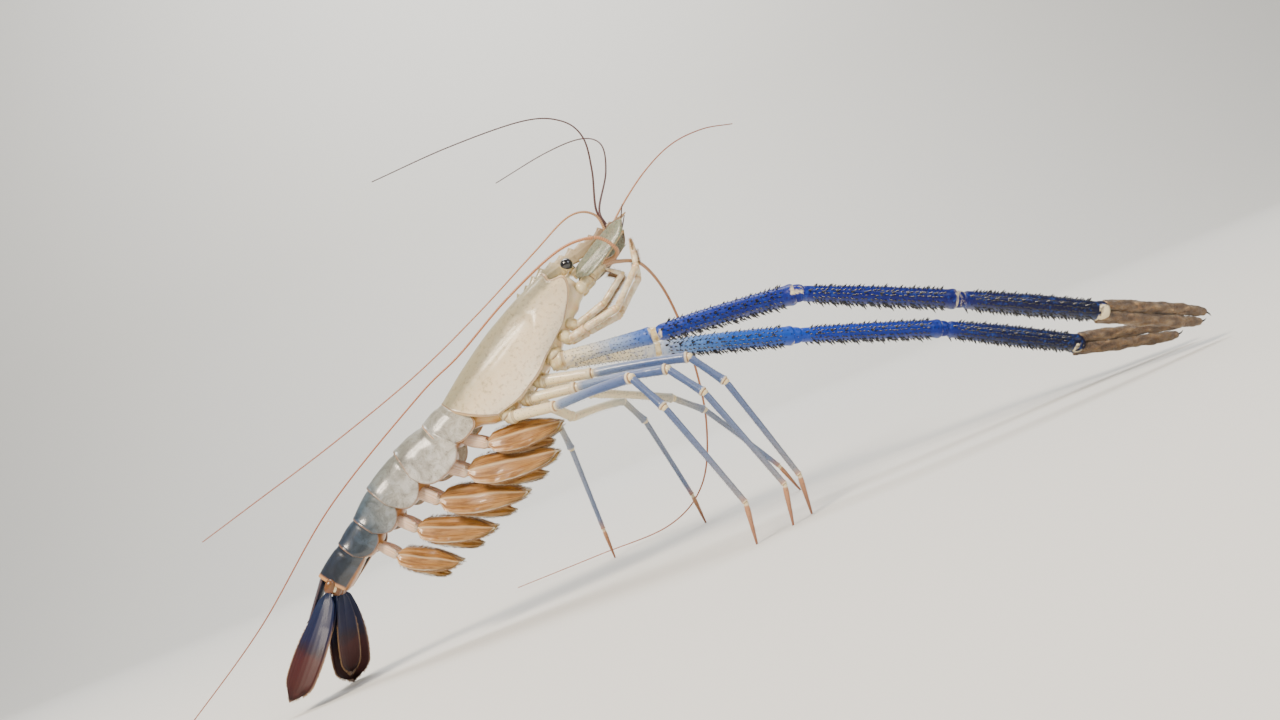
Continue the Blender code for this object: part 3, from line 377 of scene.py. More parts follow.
def eased(table, places):
    """Columns of a table of (place, values...) eased along it by a smooth line."""
    table = np.asarray(table, float)
    x, out = table[:, 0], []
    slope = np.gradient(table[:, 1:], x, axis=0)
    for p in np.clip(places, x[0], x[-1]):
        k = min(int(np.searchsorted(x, p, side="right")) - 1, len(x) - 2)
        w = x[k + 1] - x[k]
        t = (p - x[k]) / w
        out.append((2 * t ** 3 - 3 * t * t + 1) * table[k, 1:] + (t ** 3 - 2 * t * t + t) * w * slope[k]
                   + (3 * t * t - 2 * t ** 3) * table[k + 1, 1:] + (t ** 3 - t * t) * w * slope[k + 1])
    return np.array(out)


def ripple(points, size, seed):
    """Smooth unevenness between -1 and 1 with lumps of about the given size."""
    rnd = np.random.default_rng(seed)
    total = np.zeros(points.shape[:-1])
    for _ in range(7):
        wave = unit(rnd.normal(size=3)) * 2 * math.pi / (size * rnd.uniform(0.7, 1.6))
        total += np.sin(points @ wave + rnd.uniform(0, 2 * math.pi))
    return total / 4.0


SHARE, FIRST, SECOND = 0, 6, 7              # inputs of a Mix node that mixes colours

# Soft joint membrane, wet and slightly see-through: amber over muscle, whitish on its raised ribs.
membrane = Finish("arthrodial_membrane", 0.32, coat=(0.4, 0.12), inside=(0.25, 0.002, (1.0, 0.7, 0.4)))
cloud = membrane.add("TexNoise", {"Scale": 240.0, "Detail": 4.0, "Roughness": 0.6})
flesh_tone = membrane.add("ValToRGB", links={"Fac": "along"}, stops=(
    (0.0, "#5e3a1a"), (0.2, "#8a5726"), (0.42, "#a87234"), (0.56, "#c4924c"), (0.62, "#cdaa6c"),
    (0.75, "#dcc596"), (1.0, "#e8d8b2")))
pale = membrane.add("Mix", {SECOND: tint("#dcb680")}, {FIRST: flesh_tone, SHARE: "rim"})
blot = membrane.add("Mix", {SHARE: 0.35}, {FIRST: pale, SECOND: cloud.outputs["Color"]},
                    blend_type="SOFT_LIGHT")
membrane.use(blot, cloud, 0.25, 0.0006)

# Ivory shell: dense cream lime, stained faintly tan, wet and smooth; coxae and joints are made of it.
ivory = Finish("ivory_shell", 0.3, coat=(0.5, 0.08), inside=(0.15, 0.0015, (1.0, 0.8, 0.55)))
stain = ivory.add("TexNoise", {"Scale": 170.0, "Detail": 5.0, "Roughness": 0.6})
cream = ivory.add("ValToRGB", links={"Fac": stain}, stops=(
    (0.3, "#a98549"), (0.42, "#d3ba84"), (0.55, "#e6d5a9"), (0.8, "#f0e4c4")))
seam_cover = ivory.add("MapRange", {"From Min": 0.84, "From Max": 0.95, "To Max": 0.8}, {"Value": "rim"})
seamed = ivory.add("Mix", {SECOND: tint("#8a6238")}, {FIRST: cream, SHARE: seam_cover})
pitting = ivory.add("TexNoise", {"Scale": 1500.0, "Detail": 2.0})
ivory.use(seamed, pitting, 0.12, 0.0003)

flesh = Heap()
rows, cols = 260, 48
total = sum(row[1] for row in SEGMENTS)
stations = []                               # distance from the tail root, frame and local place
for number, row in enumerate(SEGMENTS):
    for share in (0.0, 0.5) if number else (0.1, 0.5):
        line = between(number, share)
        wide = (row[3] + (row[4] - row[3]) * share) / 2 - (3.0 if number else 1.4)
        stations.append((sum(r[1] for r in SEGMENTS[:number]) + row[1] * share, line, 0.0, wide, 6.8,
                         row[6] + (1.0 if number else 1.9)))
for place, half, top, bottom in UNDERSIDE:
    stations.append((total + place, HEAD, place, half, top, bottom))
table = [(s, *at(line, ahead, 0, (top + bottom) / 2)[[0, 2]], line[2], half, (bottom - top) / 2)
         for s, line, ahead, half, top, bottom in stations]
distance = np.linspace(table[0][0], table[-1][0], rows)
x, z, pitch, half, tall = eased(table, distance).T
rib = 0.5 + 0.5 * np.cos(distance / (total + 101.5) * RIBS * 2 * math.pi)
around = turns(cols)
side = np.sign(np.sin(around)) * np.abs(np.sin(around)) ** 0.75
down = np.sign(np.cos(around)) * np.abs(np.cos(around)) ** 0.75
under = held(down)[None] * (rib ** 2)[:, None]
c, s = np.cos(np.radians(pitch))[:, None], np.sin(np.radians(pitch))[:, None]
reach = tall[:, None] * down[None] + 0.7 * under
points = np.stack([x[:, None] + reach * s, half[:, None] * side[None], z[:, None] - reach * c], axis=-1)
share = (distance / distance[-1])[:, None]
flesh.grid(points, 0, share, 0.5 - down[None] / 2, held(under * 0.8), caps=(True, True))

# Coxae and bases: chunky ivory knobs in two rows, each set against the flank and capped by a collar.
LEG_ROOT_Y = 10.5
LEGS = (
    # name, side, place and depth of its root, then azimuth and elevation of each length
    ("leg_3_right", -1, 45.5, 40.0, (-16, -14), (-18, -13), (-22, -45), (-10, -64), (0, -85)),
    ("leg_4_right", -1, 33.0, 40.0, (-20, -9), (-26, -11), (-30, -55), (-14, -74), (0, -104)),
    ("leg_5_right", -1, 20.0, 38.5, (-30, -9), (-38, -3), (-35, -60), (-12, -72), (0, -98)),
    ("leg_3_left", 1, 45.5, 40.0, (28, -32), (36, -20), (34, -32), (26, -52), (20, -65)),
    ("leg_4_left", 1, 33.0, 40.0, (50, -35), (58, 0), (60, -50), (62, -72), (60, -85)),
    ("leg_5_left", 1, 20.0, 38.5, (75, -38), (84, 10), (88, -55), (95, -75), (90, -88)),
)
CLAW_ROOT = (61.0, 9.2, 41.2)               # place, distance aside and depth
BOXY = 0.8                                  # power below 1 that squares off a rounded lump
CLAWS = (
    ("right", -1, (-6, -7.5), (-8, -6.5), (2, -24), (6, -26), (8, -24)),
    ("left", 1, (4, -14), (4, -16), (4, -19), (3, -28), (-2, -14)),
)


def blob(heap, centre, axis, along_half, across_half, finish=0, rows=14, cols=20, flat=1.0, tone=0.0,
         rim=0.0):
    """Rounded lump about a centre, stretched along an axis."""
    axis = unit(axis)
    one = unit(np.cross(axis, (0.0, 1.0, 0.05)))
    two = np.cross(axis, one)
    lat = np.linspace(-math.pi / 2 + 0.08, math.pi / 2 - 0.08, rows)
    turn = turns(cols)
    reach = np.sign(np.sin(lat)) * np.abs(np.sin(lat)) ** BOXY * along_half
    width = np.cos(lat) ** BOXY * across_half
    points = (np.asarray(centre) + reach[:, None, None] * axis
              + width[:, None, None] * ring(one, two, turn, flat))
    points += axis * (0.08 * across_half * ripple(points, across_half * 1.6, 5))[..., None]
    heap.grid(points, finish, tone, 0.5, rim, caps=(True, True))


def cord(heap, line, radii, finish=0, along=(0.0, 1.0), rim=0.0, cols=14, flat=1.0):
    """Round rod along a line of points; its height mark is how far each point faces up."""
    line = np.asarray(line, float)
    radii = np.broadcast_to(radii, len(line))
    way = unit(np.gradient(line, axis=0))
    side = np.cross(way[0], (0.0, 0.0, 1.0) if abs(way[0][2]) < 0.95 else (1.0, 0.0, 0.0))
    sides = []
    for w in way:
        side = unit(side - w * (side @ w))
        sides.append(side)
    sides = np.array(sides)
    ups = np.cross(sides, way)
    turn = turns(cols)
    off = ring(sides, ups, turn, flat)
    mark = np.linspace(along[0], along[1], len(line)) if len(along) == 2 else along
    heap.grid(line[:, None] + off * radii[:, None, None], finish, mark[:, None], off[..., 2] / 2 + 0.5,
              np.asarray(rim)[:, None] if np.ndim(rim) == 1 else rim, caps=(True, True))


def s_curve(share):
    """A share between 0 and 1, eased at both ends."""
    return share * share * (3 - 2 * share)


def article(heap, a, b, radii, finish=0, along=(0.0, 1.0), cols=28, rows=40, bow=0.0, neck=0.66, lip=0.07,
            rough=0.06):
    """One hard length of a limb: a narrow neck in the joint behind, a shaft, and a raised collar."""
    a, b = np.asarray(a, float), np.asarray(b, float)
    length = np.linalg.norm(b - a)
    d = (b - a) / length
    start, middle, end = radii
    s = np.concatenate([
        np.linspace(0.15 * start, 1.5 * start, 12), np.linspace(1.7 * start, length - 1.7 * end, rows),
        np.linspace(length - 1.5 * end, length - 0.1 * end, 15)])
    u, e = s / length, length - s
    wide = np.where(u < 0.5, start + (middle - start) * s_curve(2 * u),
                    middle + (end - middle) * s_curve(2 * u - 1))
    wide = wide * (neck + (1 - neck) * s_curve(held((s - 0.1 * start) / (0.95 * start))))
    wide = wide * (1 + lip * np.exp(-((e - 0.6 * end) / (0.32 * end)) ** 2))
    wide = wide * (1 - 0.32 * held(1 - e / (0.42 * end)) ** 2)
    lift = np.array((0, 0, 1.0)) - d * d[2]
    line = a + d * s[:, None] + lift * (bow * np.sin(math.pi * u))[:, None]
    wide = wide + rough * ripple(line, 5.0, 4) * held(s / start)
    rim = np.maximum(np.exp(-(e / (1.0 * end)) ** 2), 0.8 * np.exp(-(s / (0.9 * start)) ** 2))
    cord(heap, line, wide, finish, along[0] + (along[1] - along[0]) * u, rim=rim, cols=cols)


COXA = 8.5                                  # length of the first joint of a walking leg
ROOT_LUMPS = ((6.2, 9.0, 1.0, 0), (4.0, 12.4, 0.95, 0), (6.2, 11.6, 0.5, 1), (1.6, 14.2, 0.7, 0))
MOUTH_LUMPS = (((73.0, 8.2, 35.0), 0.3, 4.2, 3.6), ((81.0, 5.4, 33.4), 0.5, 4.0, 3.4))
for sign, place, aside, depth, angles, size in (
        *((sign, place, LEG_ROOT_Y, depth, way, 1.0) for _, sign, place, depth, way, *_ in LEGS),
        *((sign, *CLAW_ROOT, way, 1.18) for _, sign, way, *_ in CLAWS)):
    way = heading(*angles)
    root, hip = at(HEAD, place, sign * aside, depth), at(HEAD, place, sign * (aside - 1.9), depth - COXA)
    blob(flesh, hip, BELOW, 4.4 * size, 4.8 * size, 1)
    article(flesh, hip - BELOW * 1.5, root - way * 1.6, (4.6 * size, 4.7 * size, 4.5 * size), 1, cols=30,
            rows=10, neck=0.92, lip=0.1, rough=0.15)
    blob(flesh, root - way * 1.8, BELOW + way, 3.9 * size, 4.1 * size, 0, tone=0.72)
    article(flesh, root - way * 3.2, root + way * 2.6, (3.9 * size, 4.3 * size, 4.0 * size), 1, cols=30,
            rows=4, neck=0.9, lip=0.08, rough=0.1)
for number, (_, length, _, rear, _, depth, belly) in enumerate(SEGMENTS):
    line = between(number, 0.5)
    fall = (depth - belly) / 2
    ahead = at(line, 1, 0, 0) - at(line, 0, 0, 0)
    blob(flesh, at(line, 0, 0, belly + 0.6 * fall), ahead, 0.52 * length, fall + 1.0, 0,
         flat=(rear / 2 - 1.6) / (fall + 1.0), tone=0.32)
back = at(FRAMES[0], 0, 0, 0) - at(FRAMES[0], 1, 0, -0.2)
for y, depth, size, finish in ROOT_LUMPS:
    for sign in (-1, 1):
        blob(flesh, at(FRAMES[0], -1.6, sign * y, depth), back, 4.4 * size, 3.2 * size, finish, tone=0.06)
for sign in (-1, 1):
    for spot, lean, tall, wide in MOUTH_LUMPS:
        blob(flesh, on_head(spot, sign), BELOW + AHEAD * lean, tall, wide, 1)
flesh.piece("flesh_skin", [membrane, ivory], "carapace_shell", "thorax_underside")


# Carapace and beak. One shield of limed shell wraps the head and thorax down to the leg roots, with a
# beaded rim, an orbit for each eye and two spines a side. The toothed beak grows from its crest.
CARAPACE_LENGTH = 94.0
CARAPACE = (
    # share of the length, width, depth, fall of the back line
    (0.0, 31.0, 31.5, 1.0), (0.15, 35.5, 35.5, -0.6), (0.38, 38.5, 37.0, -2.0),
    (0.62, 37.5, 36.5, -1.8), (0.82, 32.0, 33.5, 0.0), (1.0, 25.0, 30.0, 2.4),
)
SWEEPS, SWEEP_DEPTH = (0.0, -1.0, -2.0, -3.0, -5.0, 4.0, 13.0), 28.0
CHEEK_DEPTH, CHEEK_AHEAD, JAW_BACK, JAW_DEPTH = 14.0, 6.0, 26.0, 17.0
ORBIT_DEPTH, ORBIT_WIDTH, ORBIT_BITE = 9.6, 3.2, 3.4
BEAK = (
    # place along the head's line, depth, half height, half thickness
    (60.0, 0.4, 0.8, 0.6), (76.0, 2.2, 2.8, 1.5), (94.0, 4.6, 4.4, 1.6), (110.0, 9.6, 3.9, 1.3),
    (128.0, 14.8, 2.9, 0.95), (143.0, 18.4, 1.8, 0.65), (151.5, 19.6, 0.35, 0.3),
)
UPPER_TEETH, LOWER_TEETH = (70.0, 141.0, 12, 2.7), (102.0, 144.0, 9, 2.1)     # first, last, count, height
CHEEK_SPINES = (
    # root, azimuth, length, radius and levels
    ((93.5, 10.9, 15.6), 3, 9.0, 1.5, (0, 0.15, 0.3, 0.45, 0.6, 0.75, 0.88)),
    ((81.0, 12.4, 19.0), 24, 6.5, 1.3, (0, 0.2, 0.4, 0.6, 0.8, 0.9)),
)
SHELL_WALL = 0.9


def sweep(index, depth):
    """Forward offset of a boundary of the body at a depth."""
    return SWEEPS[index] * (depth / SWEEP_DEPTH) ** 2


def arch_line(width, depth, drop, cols):
    """Section of a shell plate from right edge to left: y, depth, and share of the way down."""
    a = np.linspace(-1, 1, cols) * math.pi / 2
    down = 1 - np.abs(np.cos(a)) ** 0.85
    y = width / 2 * np.sign(a) * np.abs(np.sin(a)) ** 0.85 * (1 - 0.1 * down ** 4)
    return y, drop + (depth - drop) * down, down


# Limed shell: cream layers under a clear wet glaze, clouded grey-olive along the back, with faint
# darker mottles a few millimetres across and a tan stain along every rim.
lime = Finish("limed_shell", 0.38, coat=(0.45, 0.16), inside=(0.25, 0.003, (1.0, 0.75, 0.5)), ior=1.45)
cloud = lime.add("TexNoise", {"Scale": 55.0, "Detail": 5.0, "Roughness": 0.55})
mottle = lime.add("TexNoise", {"Scale": 420.0, "Detail": 3.0, "Roughness": 0.6})
shift = lime.add("Math", {1: 0.42}, {0: cloud}, operation="MULTIPLY")
level_up = lime.add("Math", links={0: "upper", 1: shift}, operation="ADD")
back_tone = lime.add("ValToRGB", links={"Fac": level_up}, stops=(
    (0.12, "#fbeed8"), (0.42, "#f6e3c6"), (0.68, "#ead6b4"), (0.88, "#c8ba98"), (1.0, "#958e72")))
fleck = lime.add("ValToRGB", links={"Fac": mottle}, stops=(
    (0.32, "#a99c84"), (0.46, "#fff6ea"), (0.62, "#ffffff"), (0.8, "#ffe9cc")))
spotted = lime.add("Mix", {SHARE: 0.5}, {FIRST: back_tone, SECOND: fleck}, blend_type="MULTIPLY")
rim_tone = lime.add("ValToRGB", links={"Fac": "rim"}, stops=(
    (0.0, "#7a5a3a"), (0.3, "#6f4c30"), (0.42, "#b58f62"), (1.0, "#d9bd92")))
rim_cover = lime.add("Math", {1: 4.0}, {0: "rim"}, operation="MULTIPLY", use_clamp=True)
rim_share = lime.add("Math", {1: 0.75}, {0: rim_cover}, operation="MULTIPLY")
rimmed = lime.add("Mix", links={FIRST: spotted, SECOND: rim_tone, SHARE: rim_share})
dimple = lime.add("TexVoronoi", {"Scale": 900.0})
lime.use(rimmed, dimple, 0.06, 0.0003)

shield = Heap()
rows, cols = 130, 150
share = np.linspace(0, 1, rows)
width, depth, drop = eased(CARAPACE, share).T
y, deep, down = [np.stack(v) for v in zip(*[arch_line(w, d, f, cols) for w, d, f in zip(width, depth, drop)])]
front = np.where(deep < CHEEK_DEPTH, CHEEK_AHEAD * (np.abs(deep) / CHEEK_DEPTH) ** 2,
                 CHEEK_AHEAD - JAW_BACK * np.clip((deep - CHEEK_DEPTH) / JAW_DEPTH, 0, 1.1) ** 2)
front = front - ORBIT_BITE * np.exp(-((deep - ORBIT_DEPTH) / ORBIT_WIDTH) ** 2)
t = share[:, None]
ahead = sweep(6, deep) * (1 - t) + (CARAPACE_LENGTH + front) * t
points = at(HEAD, ahead, y, deep)
out = unit(np.stack([np.zeros_like(y), y, 12.0 - deep], axis=-1))

# A groove crosses the cheek and a fainter one runs along over the gill chamber.
groove = (np.exp(-((t * CARAPACE_LENGTH - 70 + 0.9 * (deep - 10)) / 2.0) ** 2)
          * held(1 - np.abs(deep - 16) / 9))
gill = np.exp(-((deep - 13.5 - 4 * (t - 0.45)) / 1.3) ** 2) * held(1 - np.abs(t - 0.42) / 0.36)
near_rim = np.maximum(held(1 - (1 - down) * depth[:, None] / 1.5),
                      held(1 - np.minimum(t, 1 - t) * CARAPACE_LENGTH / 1.5))
bead = np.sin(held(near_rim) * math.pi) * 0.35
points += out * (bead - 0.55 * groove - 0.1 * gill + 0.16 * ripple(points, 16, 2))[..., None]
shield.grid(points, 0, t, 1 - down, held(near_rim * 1.3 - 0.3), ring=False)
shield.piece("carapace_shield", [lime], "carapace_shell", "carapace", wall=SHELL_WALL)

beak = Heap()
place = np.linspace(BEAK[0][0], BEAK[-1][0], 330)
deep, tall, thick = eased(BEAK, place).T


def saw(places, first, last, count, height):
    """Height of a row of forward-leaning teeth at each place."""
    pitch, total = (last - first) / (count - 1), np.zeros_like(places)
    for i in range(count):
        u = (places - first - i * pitch) / pitch + 0.8
        size = height * (0.8 + 0.25 * math.sin(i * 2.1)) * (0.75 if i in (0, count - 1) else 1.0)
        total = np.maximum(total, size * np.where(u < 0.86, held(u / 0.86) ** 1.5,
                                                  held((1 - u) / 0.14)))
    return total


over, under = saw(place, *UPPER_TEETH), saw(place, *LOWER_TEETH)
v = np.linspace(-1, 1, 13)
half = np.sqrt(held(1 - np.abs(v) ** 2.4)) * 0.9 + 0.3 * np.exp(-((v - 0.05) / 0.14) ** 2)
y = thick[:, None] * np.maximum(half, 0.1)[None]
depth = deep[:, None] + tall[:, None] * v[None]
depth[:, 0] -= over
depth[:, 1] -= over * 0.35
depth[:, -1] += under
depth[:, -2] += under * 0.35
ring_y = np.concatenate([-y, y[:, -2:0:-1]], axis=1)
ring_depth = np.concatenate([depth, depth[:, -2:0:-1]], axis=1)
tipward = held((place - 100) / 50)[:, None]
beak.grid(at(HEAD, place[:, None], ring_y, ring_depth), 0, tipward, 0.75, tipward * 0.35, caps=(True, True))
for sign in (-1, 1):
    for spot, azimuth, length, radius, levels in CHEEK_SPINES:
        beak.thorns([on_head(spot, sign)], [heading(sign * azimuth, HEAD_PITCH)], length, radius, 0, 0.5, 0.4,
                    sides=12, levels=levels)
beak.piece("toothed_beak", [lime], "carapace_shell", "carapace")


# Abdomen. Six ring plates of thin clear shell lap over one another like tiles, the second over both
# its neighbours; grey-white in front, slate and navy toward the tail, with thin pinkish rims.
PLATE_STEP, PLATE_LAP, PLATE_WALL = 0.6, 0.11, 0.55

# Clear shell: horn-like and wet, with muscle showing grey through it; dusted with fine dark and
# white specks, paler down the sides.
clear = Finish("clear_shell", 0.3, coat=(0.6, 0.12), inside=(0.3, 0.004, (1.0, 0.85, 0.7)), ior=1.45)
back = clear.add("ValToRGB", links={"Fac": "along"}, stops=(
    (0.0, "#10182a"), (0.15, "#1a273b"), (0.32, "#2c3f54"), (0.37, "#42525f"), (0.49, "#566269"),
    (0.52, "#767c79"), (0.68, "#86877e"), (0.85, "#94938a"), (1.0, "#a3a195")))
flank = clear.add("ValToRGB", links={"Fac": "along"}, stops=(
    (0.0, "#232731"), (0.16, "#303c4a"), (0.33, "#4c5a66"), (0.38, "#7c8488"), (0.49, "#969997"),
    (0.53, "#b5b4af"), (0.7, "#c9c6c0"), (1.0, "#cdc8bb")))
cloud = clear.add("TexNoise", {"Scale": 90.0, "Detail": 5.0, "Roughness": 0.6})
shift = clear.add("Math", {1: 0.5, 2: -0.25}, {0: cloud}, operation="MULTIPLY_ADD")
level_up = clear.add("Math", links={0: "upper", 1: shift}, operation="ADD")
fade = clear.add("MapRange", {"From Min": 0.25, "From Max": 0.85}, {"Value": level_up},
                 interpolation_type="SMOOTHSTEP")
body_tone = clear.add("Mix", links={SHARE: fade, FIRST: flank, SECOND: back})
speck = clear.add("TexVoronoi", {"Scale": 750.0, "Randomness": 1.0})
speck_tone = clear.add("ValToRGB", links={"Fac": speck}, stops=(
    (0.0, "#54524c"), (0.16, "#8f8c84"), (0.24, "#ffffff"), (1.0, "#ffffff")))
marble = clear.add("TexNoise", {"Scale": 130.0, "Detail": 7.0, "Roughness": 0.7, "Distortion": 0.8})
marble_tone = clear.add("ValToRGB", links={"Fac": marble}, stops=(
    (0.34, "#7d766c"), (0.48, "#cfcac0"), (0.6, "#ffffff"), (1.0, "#ffffff")))
marbled = clear.add("Mix", {SHARE: 0.7}, {FIRST: body_tone, SECOND: marble_tone}, blend_type="MULTIPLY")
specked = clear.add("Mix", {SHARE: 0.5}, {FIRST: marbled, SECOND: speck_tone}, blend_type="MULTIPLY")
rim_tone = clear.add("ValToRGB", links={"Fac": "rim"}, stops=(
    (0.0, "#8f6446"), (0.5, "#a3754f"), (0.6, "#b97f4a"), (0.74, "#c08a56"), (0.84, "#efe2c0"),
    (1.0, "#f5ecd2")))
rim_cover = clear.add("Math", {1: 1.8}, {0: "rim"}, operation="MULTIPLY", use_clamp=True)
rimmed = clear.add("Mix", links={FIRST: specked, SECOND: rim_tone, SHARE: rim_cover})
clear.use(rimmed, cloud, 0.1, 0.0005)

for index, (name, length, _, rear, front, depth, belly) in enumerate(SEGMENTS):
    rows, cols = 56, 110
    t = np.linspace(-PLATE_LAP if index else 0.0, 1.04, rows)[:, None]
    lobe = 1.0 - 0.25 * np.abs(2 * held(t) - 1) ** 2.6 - held(-t) * 1.6
    if index == 0:
        lobe = np.ones_like(t)
    deep_to = depth * lobe
    width = rear + (front - rear) * t
    step = PLATE_STEP * (2 * t - 1) - 0.8 * np.sin(math.pi * t)
    y, deep, down = arch_line(width, deep_to, step, cols)
    line = between(index, t)
    bow = sweep(index, deep) * (1 - t) + sweep(index + 1, deep) * t
    if index == 4:
        bow = bow + 3.2 * held(down - 0.35) * held(t - 0.5) * 2
        y = y + np.sign(y) * 1.1 * held(down - 0.3) * held(t - 0.5) * 2
    c, s = np.cos(np.radians(line[2])), np.sin(np.radians(line[2]))
    points = np.stack([line[0] + bow * c + deep * s, y, line[1] + bow * s - deep * c], axis=-1)
    out = unit(np.stack([np.zeros_like(y), y, np.broadcast_to(8.0 - deep, y.shape)], axis=-1))
    edge = np.maximum(held(1 - (1 - down) * deep_to / 1.3), held(1 - (t + PLATE_LAP) * length / 1.1))
    fold = np.exp(-((t - 0.8) * length / 1.1) ** 2) * held(1 - down * 1.6)
    rise = 0.22 * np.sin(edge * math.pi) - 0.3 * fold + 0.1 * ripple(points, 11, 20 + index)
    points += out * rise[..., None]
    mark = held(edge * 1.7 - 0.7) * (0.95 if index == 5 else 0.46)
    if index in (1, 2):
        spot = np.exp(-(((t - 0.04) * length / 2.6) ** 2 + ((y + 1.6) / 2.2) ** 2))
        mark = np.maximum(mark, held(spot * 2.2 - 0.7))
    if index == 0:
        mark = np.maximum(mark, 0.7 * held(2 - t * length / 1.3))
    plate = Heap()
    plate.grid(points, 0, (index + t) / 6, 1 - down, mark, ring=False)
    plate.piece(name + "_plate", [clear], "abdomen_plate", name, wall=PLATE_WALL)


# Tail fan. The telson's wedge and two pairs of uropods, stiff vanes hinged on the sixth segment:
# navy going over to dark wine red, with a pale edge, raised ribs and a fringe of bristles.
TELSON = (
    # share of the length, half width, half height
    (0.0, 5.6, 2.1), (0.3, 5.0, 1.9), (0.65, 3.7, 1.5), (0.92, 2.1, 1.0), (0.985, 0.9, 0.6), (1.0, 0.3, 0.25),
)
TELSON_LENGTH, TELSON_PITCH = 49.0, 52.0
TELSON_SPINES = ((0.5, 0.55), (0.74, 0.5), (0.97, 0.9), (0.985, 0.3))    # shares of length and half width
FAN_SIDES = (("right", -1, 52.0, 14.0), ("left", 1, 71.0, 0.0))     # its pitch and added roll
UROPODS = (
    # part, distance from the middle, depth, splay, roll, length, width, rib
    ("outer", 7.0, 9.5, 16.0, 42.0, 62.0, 24.0, 1.5), ("inner", 4.0, 12.6, 9.0, 30.0, 52.0, 15.0, 1.4),
)
GAP = 0.3


def leaf(heap, root, along, across, face, length, width, thick, rib, bloom=0.75, fall=0.0, lean=0.0,
         blunt=0.0, tones=(0.0, 1.0), ridges=(0, 0.0), vein=0.0, crumple=0.0, rows=70, cols=37):
    """Oval or blunt vane, domed to the side of the face vector, with a stout root, a rib and fine ridges.
    Gives back the function that finds a point of its middle sheet from shares of length and width."""
    along = unit(along)
    across = unit(across - along * (along @ across))
    normal = np.cross(along, across)
    normal = normal if normal @ face > 0 else -normal

    def spot(u, v):
        u, v = np.asarray(u, float)[..., None], np.asarray(v, float)[..., None]
        swell = np.clip(np.sin(math.pi * (u * (1 - 0.12 * blunt)) ** bloom), 0, 1) ** (0.6 - 0.18 * blunt)
        half = width / 2 * (0.16 + 0.84 * swell)
        half = rib + (half - rib) * held(u * 9)
        half = half * (1 - blunt + blunt * np.sqrt(held(1 - (held(u - 0.84) / 0.161) ** 2)))
        middle = root + along * (GAP + (length - GAP) * u - 0.06 * length * u * v * v)
        return (middle + across * (half * v + lean * u)
                + normal * (fall * u * u - 0.10 * width * v * v * np.minimum(1, 3 * u)))

    u = (1 - (1 - np.linspace(0, 1, rows)) ** 1.5)[:, None]
    v = np.linspace(-1, 1, cols)[None]
    core = held(1 - np.abs(v) * 1.6)
    high = thick / 2 + (rib * (1 - 0.8 * u) - thick / 2) * core ** 1.3
    high = high * np.clip((1 - v ** 2) * 5, 0.12, 1) * np.clip((1 - u) * 16, 0.2, 1)
    count, height = ridges
    relief = height * np.cos(v * count * math.pi) * held(u * 3 - 0.4) * held((1 - v ** 2) * 4)
    sheet = spot(u + 0 * v, v + 0 * u)
    wave = (ripple(sheet, length * 0.3, 8) + 0.8 * ripple(sheet, length * 0.12, 9) * v ** 2
            + 0.8 * np.sin(8 * v + 3 * u) * (1 - 0.5 * u))
    sheet = sheet + normal * (crumple * wave * held(u * 3))[..., None]
    top = sheet + normal * (high + relief)[..., None]
    low = sheet - normal * (high + relief * 0.5)[..., None]
    rim = np.maximum(held((np.abs(v) - 0.93) / 0.07) * held(u * 4 - 1), held((u - 0.97) / 0.03))
    rim = np.maximum(rim, vein * np.exp(-(v / 0.09) ** 2) * (1.3 - u))
    both, breadth, rims = [np.concatenate([up, down[:, ::-1]], axis=1)
                           for up, down in ((top, low), (v / 2 + 0.5,) * 2, (rim,) * 2)]
    heap.grid(both, 0, tones[0] + (tones[1] - tones[0]) * u, breadth, rims, caps=(True, True))
    return spot, along, across, normal


def fringe(heap, vane, count, length, radius, seed, patch_at, start=0.35):
    """Bristles along the margin of a vane, swept to its tip."""
    spot, along, across, normal = vane
    rnd = np.random.default_rng(seed)
    u = start + (0.995 - start) * rnd.random(count) ** 0.6
    v = np.where(rnd.random(count) < 0.5, -1.0, 1.0) * (0.99 - 0.5 * rnd.random(count) * (u > 0.97))
    ways = (across * (v * (1.25 - u))[:, None] + along * (0.25 + u)[:, None]
            + normal * rnd.normal(0, 0.09, (count, 1)))
    patch = np.stack([patch_at[0] + 0.004 + u * 0.2, patch_at[1] + 0.05 + v * 0.04], axis=-1)
    heap.thorns(spot(u, v), ways, length * rnd.uniform(0.6, 1.1, count), radius, 0, 0.8, 0.5, sides=3,
                levels=(0.0, 0.5), patch=patch)


def fan_frame(pitch):
    """Forward and dorsal directions of a tail fan blade at a downward pitch."""
    p = math.radians(pitch)
    return np.array((-math.cos(p), 0, -math.sin(p))), np.array((-math.sin(p), 0, math.cos(p)))


# Fan shell: hard and glossy, navy at the root and wine red toward the tip, horn-coloured at the edge.
fan_shell = Finish("fan_shell", 0.42, coat=(0.06, 0.12), inside=(0.05, 0.001), shine=0.2)
cloud = fan_shell.add("TexNoise", {"Scale": 150.0, "Detail": 4.0})
shift = fan_shell.add("Math", {1: 0.25, 2: -0.12}, {0: cloud}, operation="MULTIPLY_ADD")
place_up = fan_shell.add("Math", links={0: "along", 1: shift}, operation="ADD")
tone = fan_shell.add("ValToRGB", links={"Fac": place_up}, stops=(
    (0.0, "#1c2740"), (0.22, "#111a3a"), (0.45, "#141433"), (0.56, "#221320"), (0.64, "#3b1718"),
    (0.88, "#371613"), (1.0, "#1b0d0e")))
edged = fan_shell.add("Mix", {SECOND: tint("#80695c")}, {FIRST: tone, SHARE: "rim"})
fan_shell.use(edged, cloud, 0.12, 0.0004)

# Bristle: thin horn-coloured hair, dull, darker at the root.
bristle = Finish("bristle_hair", 0.55)
hair_tone = bristle.add("ValToRGB", links={"Fac": "rim"}, stops=(
    (0.0, "#6b4a30"), (0.5, "#9a7650"), (1.0, "#c8a77c")))
bristle.use(hair_tone)

